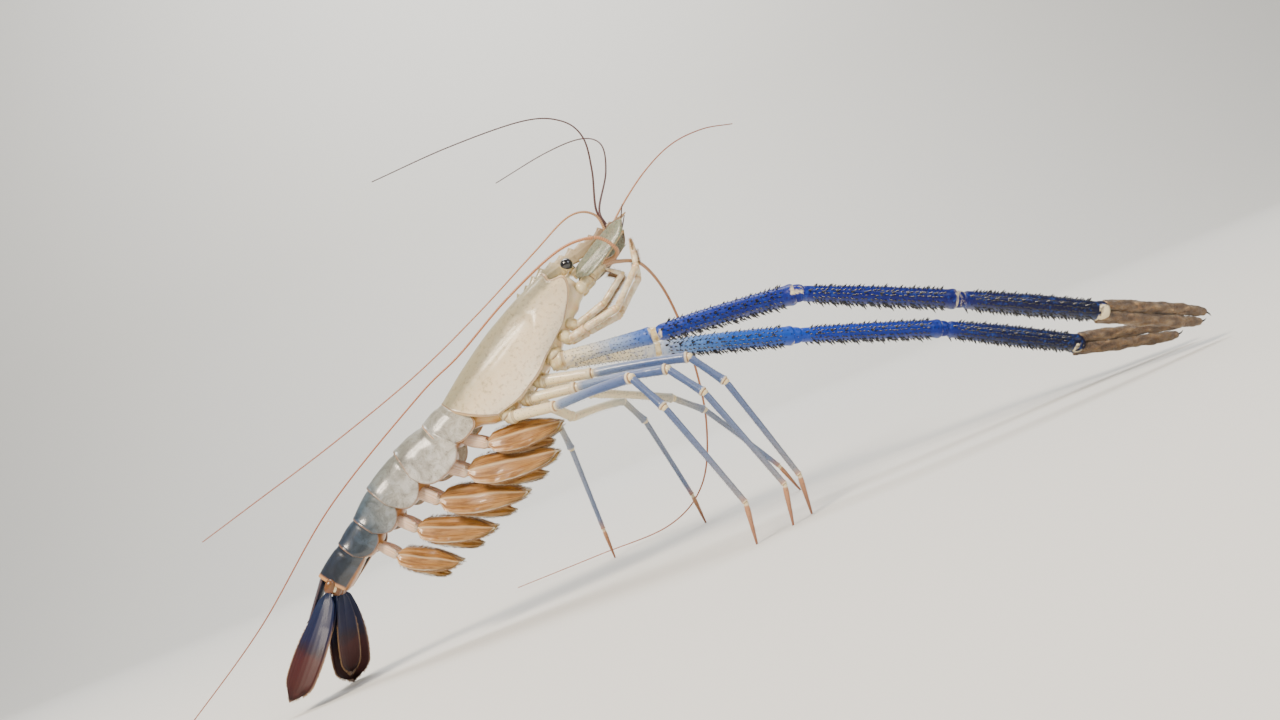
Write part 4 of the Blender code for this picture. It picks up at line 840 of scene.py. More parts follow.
back_way, up_way = fan_frame(TELSON_PITCH)
share = np.linspace(0, 1, 80)
half, high = eased(TELSON, share).T
c, s = np.cos(turns(44)), np.sin(turns(44))
section = np.where(s > 0, s ** 2 * 0.4 + s * 0.6, s * 0.8)
lift = high[:, None] * section - 0.35 * np.exp(-(c / 0.22) ** 2) * (s > 0)
centre = at(FRAMES[0], -0.15, 0, 2.6) + back_way * (0.6 + TELSON_LENGTH * share)[:, None]
points = centre[:, None] + up_way * lift[..., None] + np.array((0, 1.0, 0)) * (half[:, None] * c)[..., None]
wedge = Heap()
wedge.grid(points, 0, share[:, None] * 0.85, 0.5, held(np.abs(c)[None] * 4 - 3.3) * 0.6, caps=(True, True))
for u, out in TELSON_SPINES:
    k = int(u * 79)
    length, above = (2.4, 0.7) if u < 0.9 else (3.2, 0.0)
    for sign in (-1, 1):
        foot = centre[k] + np.array((0, sign * out * half[k], 0)) + up_way * high[k] * above
        wedge.thorns([foot], [back_way + up_way * 0.25 + (0, sign * 0.15, 0)], length, 0.36, 0, 1.0, 0.5,
                     sides=8, levels=(0, 0.3, 0.6, 0.85))
wedge.piece("telson_vane", [fan_shell], "tail_fan_shell", "telson")

edging = Heap()
for name, sign, pitch, added_roll in FAN_SIDES:
    back_way, up_way = fan_frame(pitch)
    out = np.array((0, sign, 0.0))
    for part, y, depth, splay, roll, length, width, rib in UROPODS:
        s, r = math.radians(splay), math.radians(roll + added_roll)
        vane = Heap()
        placed = leaf(vane, at(FRAMES[0], -3.0, sign * y, depth), back_way * math.cos(s) + out * math.sin(s),
                      out * math.cos(r) - up_way * math.sin(r), up_way, length, width, 0.9, rib, bloom=1.3,
                      lean=2.0, blunt=1.0, ridges=(7, 0.028), rows=100, cols=73)
        vane.keep_above(0.0)
        fringe(edging, placed, 1500, 1.6, 0.07, int(width),
               (0.25 * (sign > 0), 0.1 if part == "outer" else 0.2))
        vane.piece("uropod_vane_%s_%s" % (part, name), [fan_shell], "tail_fan_shell",
                   "uropod_%s_%s" % (part, name))
edging.keep_above(0.05)
edging.piece("fan_fringe", [bristle], "tail_fan_shell", "uropod_outer_left", "uropod_outer_right",
             "uropod_inner_left", "uropod_inner_right", mapped=True)


# Swimmerets. Five pairs hang from the belly, each a short stalk with two thin paddles one over the
# other: wet amber skin over pinkish-white veins, edged with soft bristles.
SWIMMERETS = (
    # segment, stalk's length, radius and pitch, leaf's length, width and pitch
    (5, 15.0, 2.8, -30, 45.0, 19.0, -4), (4, 16.0, 3.0, -36, 54.0, 22.0, -8),
    (3, 16.0, 2.9, -42, 52.0, 21.0, -15), (2, 15.0, 2.5, -44, 46.0, 18.0, -20),
    (1, 13.0, 2.1, -46, 38.0, 15.0, -26),
)


def eased_rod(stations, count):
    """Points and radii evenly spread along (point, radius) stations, eased between them."""
    points = np.array([p for p, _ in stations], float)
    run = np.concatenate([[0], np.cumsum(np.linalg.norm(np.diff(points, axis=0), axis=1))])
    table = np.column_stack([run, points, [r for _, r in stations]])
    out = eased(table, np.linspace(0, run[-1], count))
    return out[:, :3], out[:, 3]


# Paddle skin: thin, wet and translucent, amber between pale veins, pinkish-white on the stalk.
paddle_skin = Finish("paddle_skin", 0.34, coat=(0.35, 0.12), inside=(0.5, 0.003, (1.0, 0.75, 0.45)),
                     shine=0.35)
cloud = paddle_skin.add("TexNoise", {"Scale": 110.0, "Detail": 5.0, "Roughness": 0.65})
spread = paddle_skin.add("Math", {1: 9.0}, {0: "upper"}, operation="MULTIPLY")
sheet_place = paddle_skin.add("CombineXYZ", links={0: spread, 1: "along"})
streak = paddle_skin.add("TexNoise", {"Scale": 1.1, "Detail": 4.0, "Roughness": 0.6, "Distortion": 0.4},
                         {"Vector": sheet_place})
streaked = paddle_skin.add("Math", {1: 1.5, 2: -0.75}, {0: streak}, operation="MULTIPLY_ADD")
shift = paddle_skin.add("Math", {1: 0.5, 2: -0.25}, {0: cloud}, operation="MULTIPLY_ADD")
both = paddle_skin.add("Math", links={0: streaked, 1: shift}, operation="ADD")
place_up = paddle_skin.add("Math", links={0: "along", 1: both}, operation="ADD")
tone = paddle_skin.add("ValToRGB", links={"Fac": place_up}, stops=(
    (0.0, "#e0c4b4"), (0.14, "#d3b196"), (0.27, "#b98f62"), (0.42, "#a67844"), (0.58, "#7f562c"),
    (0.76, "#a87c48"), (1.0, "#6e4a24")))
veined = paddle_skin.add("Mix", {SECOND: tint("#e6d3b0")}, {FIRST: tone, SHARE: "rim"})
paddle_skin.use(veined, streak, 0.5, 0.0012)

soft = Heap()
for number, (index, stalk_length, thick, stalk_pitch, reach, broad, paddle_pitch) in enumerate(SWIMMERETS, 1):
    line = between(index, 0.5)
    for name, sign in (("right", -1), ("left", 1)):
        down_way = heading(sign * 12, stalk_pitch)
        root = at(line, 0, sign * SEGMENTS[index][3] / 2 * 0.42, SEGMENTS[index][6] + 3.2)
        knee = root + down_way * stalk_length
        way = heading(sign * 4, paddle_pitch)
        across, face = np.array((0, sign * 0.62, -0.78)), np.array((0, sign, 0.0))
        limb = Heap()
        rod = eased_rod([(root - down_way * 4.0, thick * 0.95), (root + down_way * 1.5, thick * 0.85),
                         (root + down_way * 5.0, thick * 1.05), (knee - down_way * 3.0, thick * 1.05),
                         (knee + down_way * 0.4, thick * 0.8), (knee + way * 1.6, 1.1)], 44)
        cord(limb, rod[0], rod[1] * 0.62, along=(-0.1, 0.12), rim=0.2, cols=24, flat=1.9)
        outer = leaf(limb, knee - way, way, across, face, reach, broad, 0.45, 0.75, fall=-2.0,
                     tones=(0.3, 1.0), vein=0.6, crumple=0.6, rows=84, cols=57)
        inner = leaf(limb, knee + np.array((0, -sign * 1.4, -0.4)), heading(-sign * 5, paddle_pitch - 13),
                     across, face, reach * 0.85, broad * 0.75, 0.4, 0.7, fall=-1.5, tones=(0.35, 1.0),
                     vein=0.5, crumple=0.6, rows=70, cols=45)
        fringe(soft, outer, 900, 2.6, 0.06, number, (0.5 + 0.2 * (sign > 0), number * 0.1), 0.12)
        fringe(soft, inner, 500, 2.2, 0.06, number + 9, (0.5 + 0.2 * (sign > 0), 0.5 + number * 0.08), 0.12)
        limb.piece("paddles_%d_%s" % (number, name), [paddle_skin], "swimmeret_leaf",
                   "pleopod_%d_%s" % (number, name))
soft.piece("paddle_fringe", [bristle], "swimmeret_leaf",
           *["pleopod_%d_%s" % (n, side) for n in range(1, 6) for side in ("left", "right")], mapped=True)


# Eyes. A black faceted cornea, wet and glassy, sits as a cap on a short ivory stalk that leaves the
# orbit and looks forward and out.
OUTWARD = {"right": np.array((0, -1.0, 0)), "left": np.array((0, 1.0, 0))}
EYE_ROOT = (101.5, 4.8, 13.4)               # place along the head's line, distance aside and depth
EYE_STALK = ((-2.5, 2.0), (1.0, 1.8), (3.6, 2.3), (5.6, 3.4), (7.2, 3.66), (7.9, 3.5))     # reach and radius
EYE_REACH, EYE_RADIUS = 7.6, 3.7

# Cornea: smooth black lens layer over a grid of facets far finer than a hair.
cornea = Finish("black_cornea", 0.1, coat=(1.0, 0.03), colour=tint("#0b0a0a"))
facets = cornea.add("TexVoronoi", {"Scale": 4200.0, "Randomness": 0.2})
cornea.use(None, facets, 0.08, 0.0001)

for name, out in OUTWARD.items():
    root = on_head(EYE_ROOT, out[1])
    look_way = unit(AHEAD * 0.6 + out * 0.75 - BELOW * 0.2)
    stalk, ball = Heap(), Heap()
    rod = eased_rod([(root + look_way * reach, radius) for reach, radius in EYE_STALK], 36)
    cord(stalk, *rod, along=(0.9, 0.9), cols=30)
    stalk.piece("eye_stalk_" + name, [ivory], "carapace_shell", "eye_" + name)
    lat = np.linspace(-0.05, math.pi / 2 - 0.02, 22)[:, None, None]
    one = unit(np.cross(look_way, (0, 0.2, 1.0)))
    ball.grid(root + look_way * EYE_REACH + EYE_RADIUS * np.sin(lat) * look_way
              + EYE_RADIUS * np.cos(lat) * ring(one, np.cross(look_way, one), turns(48)), caps=(True, True))
    ball.piece("cornea_" + name, [cornea], "cornea", "eye_" + name)


# Feelers. Jointed ivory peduncles carry whips of hundreds of short rings: pinkish-orange and long on
# the second pair, dark and fine on the first. A stiff grey scale shields the base of each long one.
WHIP_RING, SEAM_CUT = 1.15, 0.13            # length of one ring of a whip, and how far a seam cuts in
FIRST_ROOT, FIRST_TIP = (104.0, 3.2, 17.6), (134.0, 5.0, 21.5)
FIRST_JOINTS = (15.0, 23.0)                 # distances of the two joints from the root
FIRST_RADII = ((2.2, 2.5, 2.5), (2.1, 2.1, 2.2), (1.8, 1.8, 1.9))
INNER_WHIPS = {
    "right": ((246, -12, 196), (232, -19, 199), (205, -22, 186), (165, -25, 166), (121, -27, 147),
              (66, -29, 129), (16, -31, 115), (-16, -33, 106)),
    "left": ((258, 13, 196), (282, 24, 216), (306, 38, 230), (330, 54, 236), (352, 70, 236)),
}
OUTER_WHIPS = {
    "right": ((248, -9, 200), (254, -14, 220), (256, -19, 238), (248, -23, 250), (228, -26, 257),
              (185, -29, 258), (139, -32, 255)),
    "left": ((250, 10, 203), (262, 18, 224), (266, 26, 243), (256, 36, 254), (232, 46, 257), (196, 56, 254)),
}
POST = 6.0                                  # stump that the outer whip stands on
SECOND_ROOT, SECOND_JOINTS = (102.0, 5.2, 25.6), (8.0, 17.0)
LONG_STARTS = {                             # control points of the long whips by the head
    "right": ((126, 12, 31.5), (129, 21.5, 30), (126, 26, 18), (108, 25.5, 6), (70, 25, -1), (30, 24, -4)),
    "left": ((127, 13, 31),),
}
LONG_ENDS = {                               # and those that follow, free in the air
    "right": ((118, -24, 136), (52, -25, 98), (-6, -27, 51), (-66, -30, 12)),
    "left": ((262, 30, 166), (270, 50, 144), (271, 72, 106), (264, 94, 62), (246, 118, 24), (214, 140, 5),
             (160, 154, 3.0), (96, 158, 2.6)),
}
LONG_RADII = (1.5, 1.15, 0.95, 0.8, 0.65, 0.5, 0.4, 0.3)
BASE_POINTS = 90                            # points of a long whip's line that stay with its base
SCALE_ROOT, SCALE_LENGTH, SCALE_WIDTH = (103.5, 10.8, 21.0), 42.0, 16.6

# Whip: orange to dull pink, darker at every seam, a little glossy.
whip_skin = Finish("ringed_whip", 0.4, coat=(0.25, 0.15))
tone = whip_skin.add("ValToRGB", links={"Fac": "along"}, stops=(
    (0.0, "#cfa377"), (0.22, "#bf8050"), (0.55, "#ab5f35"), (0.9, "#9a5334"), (0.91, "#5a3a38"),
    (1.0, "#33262b")))
seamed = whip_skin.add("Mix", {SECOND: tint("#5b2f1e")}, {FIRST: tone, SHARE: "rim"})
whip_skin.use(seamed)

# Scale shell: thin clear plate, grey with fine dark dots and a horn edge.
scale_shell = Finish("scale_shell", 0.34, coat=(0.2, 0.1), inside=(0.3, 0.002), shine=0.25)
dots = scale_shell.add("TexVoronoi", {"Scale": 700.0})
dotted = scale_shell.add("ValToRGB", links={"Fac": dots}, stops=(
    (0.0, "#33332b"), (0.18, "#5a5c4d"), (0.4, "#72745f"), (1.0, "#84866f")))
edged = scale_shell.add("Mix", {SECOND: tint("#b39a6e")}, {FIRST: dotted, SHARE: "rim"})
scale_shell.use(edged)


def spline(points, steps):
    """Catmull-Rom line through control points."""
    points = [np.asarray(p, float) for p in points]
    line = [2 * points[0] - points[1], *points, 2 * points[-1] - points[-2]]
    out = []
    for p0, p1, p2, p3 in zip(line, line[1:], line[2:], line[3:]):
        for k in range(steps):
            t = k / steps
            out.append(0.5 * (2 * p1 + (p2 - p0) * t + (2 * p0 - 5 * p1 + 4 * p2 - p3) * t ** 2
                              + (3 * p1 - p0 - 3 * p2 + p3) * t ** 3))
    return np.array(out + [points[-1]])


def stretched(values, count):
    """A row of values stretched evenly to a count."""
    return np.interp(np.linspace(0, 1, count), np.linspace(0, 1, len(values)), values)


def whip(heap, line, radii, tones, cols=10):
    """Ringed feeler along a dense line: every ring swells and is drawn in at its seams."""
    line = np.asarray(line, float)
    run = np.concatenate([[0], np.cumsum(np.linalg.norm(np.diff(line, axis=0), axis=1))])
    size = stretched(radii, len(line))
    rings = int(run[-1] / WHIP_RING)
    s = np.sort(np.append(np.linspace(0, run[-1], rings * 2 + 1),
                          np.linspace(0, run[-1], rings + 1)[1:] - 0.2))
    seam = np.exp(-((s / run[-1] * rings - np.round(s / run[-1] * rings)) / 0.14) ** 2)
    where = np.stack([np.interp(s, run, line[:, k]) for k in range(3)], axis=1)
    cord(heap, where, np.interp(s, run, size) * (1.04 - SEAM_CUT * seam), 0, tones, rim=seam * 0.6, cols=cols)


for name, out in OUTWARD.items():
    root, tip = on_head(FIRST_ROOT, out[1]), on_head(FIRST_TIP, out[1])
    d = unit(tip - root)
    joints = [root, *[root + d * reach for reach in FIRST_JOINTS], tip]
    first, lash = Heap(), Heap()
    for a, b, radii in zip(joints, joints[1:], FIRST_RADII):
        article(first, a - d * 0.6, b, radii, 1, cols=22, rows=16, neck=0.8)
        blob(first, b, d, radii[2] * 0.8, radii[2] * 0.86, 2, rows=8, cols=18, tone=0.7)
    back = tip - d * 2.0
    whip(first, spline([back + d, *INNER_WHIPS[name]], 30), (0.9, 0.6, 0.45, 0.4, 0.3), (0.0, 0.9))
    whip(first, spline([back, tip + d * 8.0 + out * 3.0, tip + d * 18.0 + out * 9.0 - BELOW * 6.0], 20),
         (0.9, 0.5, 0.3), (0.92, 1.0))
    post = tip + unit(np.array(OUTER_WHIPS[name][0]) - tip) * POST - out * 0.6
    cord(first, np.linspace(back, post, 14), np.linspace(1.0, 0.86, 14), 0, (0.92, 0.94))
    first.piece("first_feeler_" + name, [whip_skin, ivory, membrane], "feeler", "antennule_" + name)
    d = unit(post - back)
    whip(lash, np.concatenate([[post + d * GAP], spline([post + d * 3.0, *OUTER_WHIPS[name]], 30)]),
         (0.82, 0.6, 0.45, 0.4, 0.3), (0.93, 1.0))
    lash.piece("first_feeler_whip_" + name, [whip_skin], "feeler", "antennule_whip_" + name)

    root = on_head(SECOND_ROOT, out[1])
    way = unit(AHEAD + out * 0.1 + BELOW * 0.06)
    knee, wrist = [root + way * reach for reach in SECOND_JOINTS]
    second, lash = Heap(), Heap()
    blob(second, root - way * 1.0, way, 3.2, 3.9, 1, tone=0.8)
    article(second, root - way * 0.5, knee, (3.4, 3.4, 3.3), 1, cols=26, rows=10, neck=0.85)
    blob(second, knee, way, 2.4, 2.8, 2, tone=0.7)
    article(second, knee, wrist, (2.9, 2.6, 2.4), 1, cols=24, rows=14, neck=0.8)
    blob(second, wrist, way, 1.9, 2.0, 2, tone=0.7)
    line = spline([wrist, *[on_head(spot, out[1]) for spot in LONG_STARTS[name]], *LONG_ENDS[name]], 30)
    sizes = stretched(LONG_RADII, len(line))
    parting = line[BASE_POINTS]
    whip(second, np.concatenate([[wrist - way * 2.0], line[1:BASE_POINTS + 1]]),
         np.append(1.6, sizes[1:BASE_POINTS + 1]), (0.0, 0.2), cols=14)
    second.piece("second_feeler_" + name, [whip_skin, ivory, membrane], "feeler", "antenna_base_" + name)
    d = unit(parting - line[BASE_POINTS - 1])
    whip(lash, np.concatenate([[parting + d * GAP], line[BASE_POINTS + 1:]]), sizes[BASE_POINTS:],
         (0.2, 0.88), cols=12)
    lash.piece("second_feeler_whip_" + name, [whip_skin], "feeler", "antenna_whip_" + name)

    shade = Heap()
    spot, along, across, normal = leaf(
        shade, on_head(SCALE_ROOT, out[1]), AHEAD + out * 0.12, out * 0.66 + BELOW * 0.75, out, SCALE_LENGTH,
        SCALE_WIDTH, 0.8, 1.6, lean=1.7, blunt=1.0, ridges=(3, 0.04), rows=80, cols=49)
    shade.thorns([spot(0.84, 0.94)], [along + across * 0.15], 3.4, 0.55, 0, 0.5, 0.5, sides=10,
                 levels=(0, 0.3, 0.6, 0.85))
    shade.piece("feeler_scale_" + name, [scale_shell], "carapace_shell", "antenna_scale_" + name)


# Mouth limbs. The third maxillipeds fold over the mouth and a pair of slim pincer legs tucks in
# beside them: beige shell between soft joints, with brushes of light brown hair on the inner edge.
JAW_ROOT, JAW_LENGTHS = (80.0, 5.0, 36.0), (22.0, 20.0, 9.0)
JAW_RADII = ((2.7, 2.3, 2.1), (2.0, 1.8, 1.7), (1.5, 1.25, 0.9))
JAW_HAIRS = ((420, 3.4), (420, 3.8), (200, 3.4))                   # count and length on each length
PINCER_ROOT, PINCER_LENGTHS = (73.0, 8.4, 37.6), (34.0, 26.0, 9.0)
PINCER = ((-0.8, 0.7, 1.15), (3.0, 0.85, 0.85), (7.0, 0.55, 0.55), (9.0, 0.1, 0.16))   # ahead, aside, radius

# Beige limb shell: thin cream lime clouded with tan, rings at the joints, wet.
beige = Finish("beige_limb_shell", 0.32, coat=(0.45, 0.1), inside=(0.2, 0.0015))
cloud = beige.add("TexNoise", {"Scale": 260.0, "Detail": 5.0, "Roughness": 0.6})
tone = beige.add("ValToRGB", links={"Fac": cloud}, stops=(
    (0.3, "#b2926a"), (0.45, "#d3bd95"), (0.6, "#e6d8ba"), (0.8, "#efe6d2")))
ringed = beige.add("Mix", {SECOND: tint("#dba66c")}, {FIRST: tone, SHARE: "rim"})
soften = beige.add("Mix", {SHARE: 0.5}, {FIRST: tone, SECOND: ringed})
beige.use(soften)

brush = Heap()


def brush_of(a, b, radius, count, length, toward, seed, patch_at):
    """Hair in loose rows along one length of a limb, on the side that faces a direction."""
    rnd = np.random.default_rng(seed)
    a, b = np.asarray(a, float), np.asarray(b, float)
    d = unit(b - a)
    toward = unit(toward - d * (d @ toward))
    aside = np.cross(d, toward)
    u = rnd.random(count)
    turn = rnd.normal(0, 0.5, count)
    way = toward * np.cos(turn)[:, None] + aside * np.sin(turn)[:, None]
    feet = a + (b - a) * u[:, None] + way * radius * 0.9
    patch = np.stack([patch_at + 0.01 + u * 0.08, 0.1 + turn * 0.05], axis=-1)
    brush.thorns(feet, way + d * 0.5 + rnd.normal(0, 0.12, (count, 3)), length * rnd.uniform(0.5, 1.1, count),
                 0.07, 0, 0.5, 0.5, bend=d * 0.3, sides=3, levels=(0.0, 0.45), patch=patch)


for number, (name, out) in enumerate(OUTWARD.items()):
    way = unit(AHEAD * 0.95 + BELOW * 0.25 + out * 0.08)
    ways = (way, AHEAD * 0.98 - BELOW * 0.08, unit(out * 0.45 - BELOW * 0.85 - AHEAD * 0.35))
    joints = [on_head(JAW_ROOT, out[1])]
    limb = Heap()
    for k, (length, radii, (hairs, hair)) in enumerate(zip(JAW_LENGTHS, JAW_RADII, JAW_HAIRS)):
        joints.append(joints[k] + ways[k] * length)
        article(limb, joints[k] - (way * 1.5 if k == 0 else 0), joints[k + 1], radii, 0, cols=24, rows=26)
        if k < 2:
            blob(limb, joints[k + 1], joints[k + 1] - joints[k], radii[2] * 0.85, radii[2] * 0.9, 1, tone=0.7)
        brush_of(joints[k], joints[k + 1], radii[1], hairs, hair, -out * 0.6 + BELOW * 0.2,
                 40 + k + number * 7, 0.1 * k + 0.5 * number)
    blob(limb, joints[-1], joints[-1] - joints[-2], 1.6, 0.8, 0)
    limb.piece("jaw_foot_" + name, [beige, membrane], "leg_shell", "maxilliped_" + name)

    root = on_head(PINCER_ROOT, out[1])
    way = unit(AHEAD * 0.88 + BELOW * 0.38 + out * 0.30)
    hand_way = unit(AHEAD * 0.6 - BELOW * 0.7 - out * 0.38)
    knee = root + way * PINCER_LENGTHS[0]
    wrist = knee + unit(AHEAD * 0.95 - BELOW * 0.18 + out * 0.22) * PINCER_LENGTHS[1]
    palm = wrist + hand_way * PINCER_LENGTHS[2]
    limb = Heap()
    article(limb, root - way * 1.5, root + way * 12.0, (2.5, 2.4, 2.4), 0, cols=24, rows=16)
    article(limb, root + way * 11.2, knee, (2.3, 2.2, 2.3), 0, cols=24, rows=26)
    article(limb, knee, wrist, (1.9, 1.8, 2.0), 0, cols=24, rows=26)
    article(limb, wrist, palm, (1.7, 1.9, 1.8), 0, cols=24, rows=16, lip=0.0)
    for joint, size in ((root + way * 11.6, 1.9), (knee, 1.9), (wrist, 1.6)):
        blob(limb, joint, way, size * 0.95, size * 0.95, 1, tone=0.7)
    for side in (-1, 1):
        tilt = np.cross(hand_way, out) * side
        nip = [(palm + hand_way * ahead + tilt * aside, radius) for ahead, aside, radius in PINCER]
        cord(limb, *eased_rod(nip, 24), cols=14)
    brush_of(wrist, palm, 1.7, 260, 2.2, tilt, 60 + number, 0.3 + 0.5 * number)
    brush_of(palm, palm + hand_way * 8.0, 0.8, 200, 1.8, out, 62 + number, 0.4 + 0.5 * number)
    limb.piece("pincer_leg_" + name, [beige, membrane], "leg_shell", "small_claw_leg_" + name)
brush.piece("mouth_brush", [bristle], "leg_shell", "maxilliped_left", "maxilliped_right",
            "small_claw_leg_left", "small_claw_leg_right", mapped=True)


# Walking legs. Three pairs of five-jointed stilts: slate blue on the right side, cream going over to
# grey on the left, with cream rings at the joints and red-brown claws on the floor.
LEG_LENGTHS = (30.0, 56.0, 24.0, 62.0, 21.0)
LEG_RADII = ((3.4, 3.1, 3.0), (2.7, 2.5, 2.8), (2.1, 2.0, 2.4), (1.8, 1.6, 1.5))
LEG_BOWS, LEG_ROWS = (0, 0.7, 0, 0.5), (26, 44, 26, 44)
LEG_SHARES = (0.0, 0.18, 0.5, 0.64, 0.92, 1.0)      # places of the joints on the colour ramp's half
LEG_SPINULES = (
    # length of the limb, rows, spines in a row, their length and radius
    (1, 7, 22, 0.5, 0.15), (2, 8, 12, 0.5, 0.15), (3, 9, 34, 0.6, 0.14),
)
SPINULE_SPAN = (0.06, 0.94)                 # shares of a length between which spines stand
JOINT, HORN, HAIR = 1, 2, 3                 # places in a limb's list of finishes; its shell is at 0

# Leg shell: hard, wet lime. The place mark runs down a right leg from 0 to 0.5 and a left one from
# 0.5 to 1; the ring mark paints the joints, fine dust breaks the pale stretches, and a painted
# highlight whitens the side of each length that faces up.
leg_shell = Finish("leg_shell", 0.3, coat=(0.35, 0.07), inside=(0.1, 0.001), shine=0.3)
stretch = leg_shell.add("ValToRGB", links={"Fac": "along"}, stops=(
    (0.0, "#f0dfb6"), (0.08, "#dfcda4"), (0.105, "#6a7c9a"), (0.19, "#40588a"), (0.3, "#38507e"),
    (0.38, "#536284"), (0.45, "#7c7c82"), (0.463, "#b07a4e"), (0.5, "#7a4324"), (0.501, "#f0dfb6"),
    (0.66, "#e0d0aa"), (0.74, "#b3ad9a"), (0.81, "#7f8798"), (0.94, "#6d7b9a"), (0.963, "#b07a4e"),
    (1.0, "#7a4324")))
dust = leg_shell.add("TexVoronoi", {"Scale": 620.0})
dust_tone = leg_shell.add("ValToRGB", links={"Fac": dust}, stops=(
    (0.0, "#3c3c44"), (0.16, "#7c7c86"), (0.3, "#ffffff"), (1.0, "#ffffff")))
dusted = leg_shell.add("Mix", {SHARE: 0.5}, {FIRST: stretch, SECOND: dust_tone}, blend_type="MULTIPLY")
# Painted highlight: the side of each leg length that faces up is mixed toward near-white.
sheen = leg_shell.add("MapRange", {"From Min": 0.3, "From Max": 1.0, "To Max": 0.14}, {"Value": "upper"})
top_painted_highlight = leg_shell.add("Mix", {SECOND: tint("#eef0f8")}, {FIRST: dusted, SHARE: sheen})
ring_tone = leg_shell.add("ValToRGB", links={"Fac": "rim"}, stops=(
    (0.0, "#e4d3ab"), (0.86, "#ead9b2"), (0.95, "#b98f5c"), (1.0, "#8a6238")))
ring_cover = leg_shell.add("MapRange", {"From Min": 0.5, "From Max": 0.8, "To Max": 0.85},
                           {"Value": "rim"})
ringed = leg_shell.add("Mix", links={FIRST: top_painted_highlight, SECOND: ring_tone, SHARE: ring_cover})
fine = leg_shell.add("TexNoise", {"Scale": 900.0, "Detail": 3.0})
leg_shell.use(ringed, fine, 0.12, 0.0003)


def chain(root, lengths, angles):
    """Joints of a limb from its root along lengths at the given azimuths and elevations."""
    points = [np.asarray(root, float)]
    for length, (azimuth, elevation) in zip(lengths, angles):
        points.append(points[-1] + heading(azimuth, elevation) * length)
    return points


def floor_chain(root, angles):
    """Leg whose last three lengths are swung until its tip is at floor level."""
    low, high = -60.0, 60.0
    for _ in range(40):
        swing = (low + high) / 2
        swung = [(a, e + (swing if k > 1 else 0)) for k, (a, e) in enumerate(angles)]
        points = chain(root, LEG_LENGTHS, swung)
        low, high = (low, swing) if points[-1][2] > 0 else (swing, high)
    return points


def crosswise(way):
    """Level direction across a way, or across each of many, and the upward one across both."""
    side = unit(np.cross(way, (0, 0, 1.0)))
    return side, np.cross(side, way)


def spinules(heap, a, b, radii, rows, count, length, radius, finish, seed, lean=0.7, sides=5):
    """Rows of small spines round one length of a limb, leaning to its far end."""
    rnd = np.random.default_rng(seed)
    a, b = np.asarray(a, float), np.asarray(b, float)
    d = unit(b - a)
    side, up = crosswise(d)
    row, i = [m.ravel() for m in np.meshgrid(np.arange(rows), np.arange(count), indexing="ij")]
    number = i + 0.5 * (row % 2) + rnd.uniform(-0.2, 0.2, len(row))
    u = SPINULE_SPAN[0] + (SPINULE_SPAN[1] - SPINULE_SPAN[0]) * number / count
    turn = 2 * math.pi * (row + rnd.uniform(-0.15, 0.15, len(row))) / rows
    out = side * np.cos(turn)[:, None] + up * np.sin(turn)[:, None]
    size = np.interp(u, (0, 0.5, 1), radii)
    heap.thorns(a + (b - a) * u[:, None] + out * (size * 0.96)[:, None], out + d * lean,
                length * rnd.uniform(0.65, 1.2, len(row)), radius, finish, 0.5, 0.5, sides=sides,
                levels=(0.0, 0.35, 0.7))


# Horn tip: black glossy spines and claw hooks, blue where they leave the shell, brown at the point.
horn = Finish("horn_tip", 0.33, coat=(0.4, 0.1))
horn_tone = horn.add("ValToRGB", links={"Fac": "rim"}, stops=(
    (0.0, "#10163a"), (0.2, "#080910"), (0.8, "#0a090c"), (1.0, "#2c1c12")))
horn.use(horn_tone)

for number, (name, sign, place, depth, *angles) in enumerate(LEGS):
    points = floor_chain(at(HEAD, place, sign * LEG_ROOT_Y, depth), angles)
    shares = [0.5 * (sign > 0) + 0.5 * share for share in LEG_SHARES]
    upper, lower = Heap(), Heap()
    for k, (a, b) in enumerate(zip(points, points[1:])):
        d = unit(b - a)
        limb = upper if k < 2 else lower
        if k < 4:
            article(limb, a - (d * 1.2 if k == 0 else 0), b, LEG_RADII[k], 0, (shares[k], shares[k + 1]),
                    cols=26, rows=LEG_ROWS[k], bow=LEG_BOWS[k], lip=0.16, neck=0.78)
            blob(lower if k else upper, b, d, LEG_RADII[k][2] * 0.8, LEG_RADII[k][2] * 0.82, JOINT,
                 tone=0.8)
        else:
            toe = b + d * 1.5
            line = np.array([a - d * 0.4, a + d * 3, a + d * 10, a + d * 17 + (0, 0, -0.3), toe])
            claw, size = eased_rod(list(zip(line, (1.1, 1.4, 1.15, 0.8, 0.5))), 50)
            cord(limb, claw, size, 0, (shares[4], shares[5]), cols=20,
                 rim=np.exp(-(np.arange(50) / 6.0) ** 2))
    for k, *table in LEG_SPINULES:
        spinules(upper if k < 2 else lower, points[k], points[k + 1], LEG_RADII[k], *table, HORN,
                 60 + 10 * k + number)
    spinules(lower, points[4], points[5] - unit(points[5] - points[4]) * 5, (1.3, 1.1, 0.9), 6, 12, 1.3, 0.06,
             HAIR, 95 + number, lean=1.2, sides=3)
    lower.keep_above(0.0)
    for half_name, limb in (("upper", upper), ("lower", lower)):
        limb.piece("%s_%s_shell" % (name, half_name), [leg_shell, membrane, horn, bristle], "leg_shell",
                   "%s_%s" % (name, half_name))


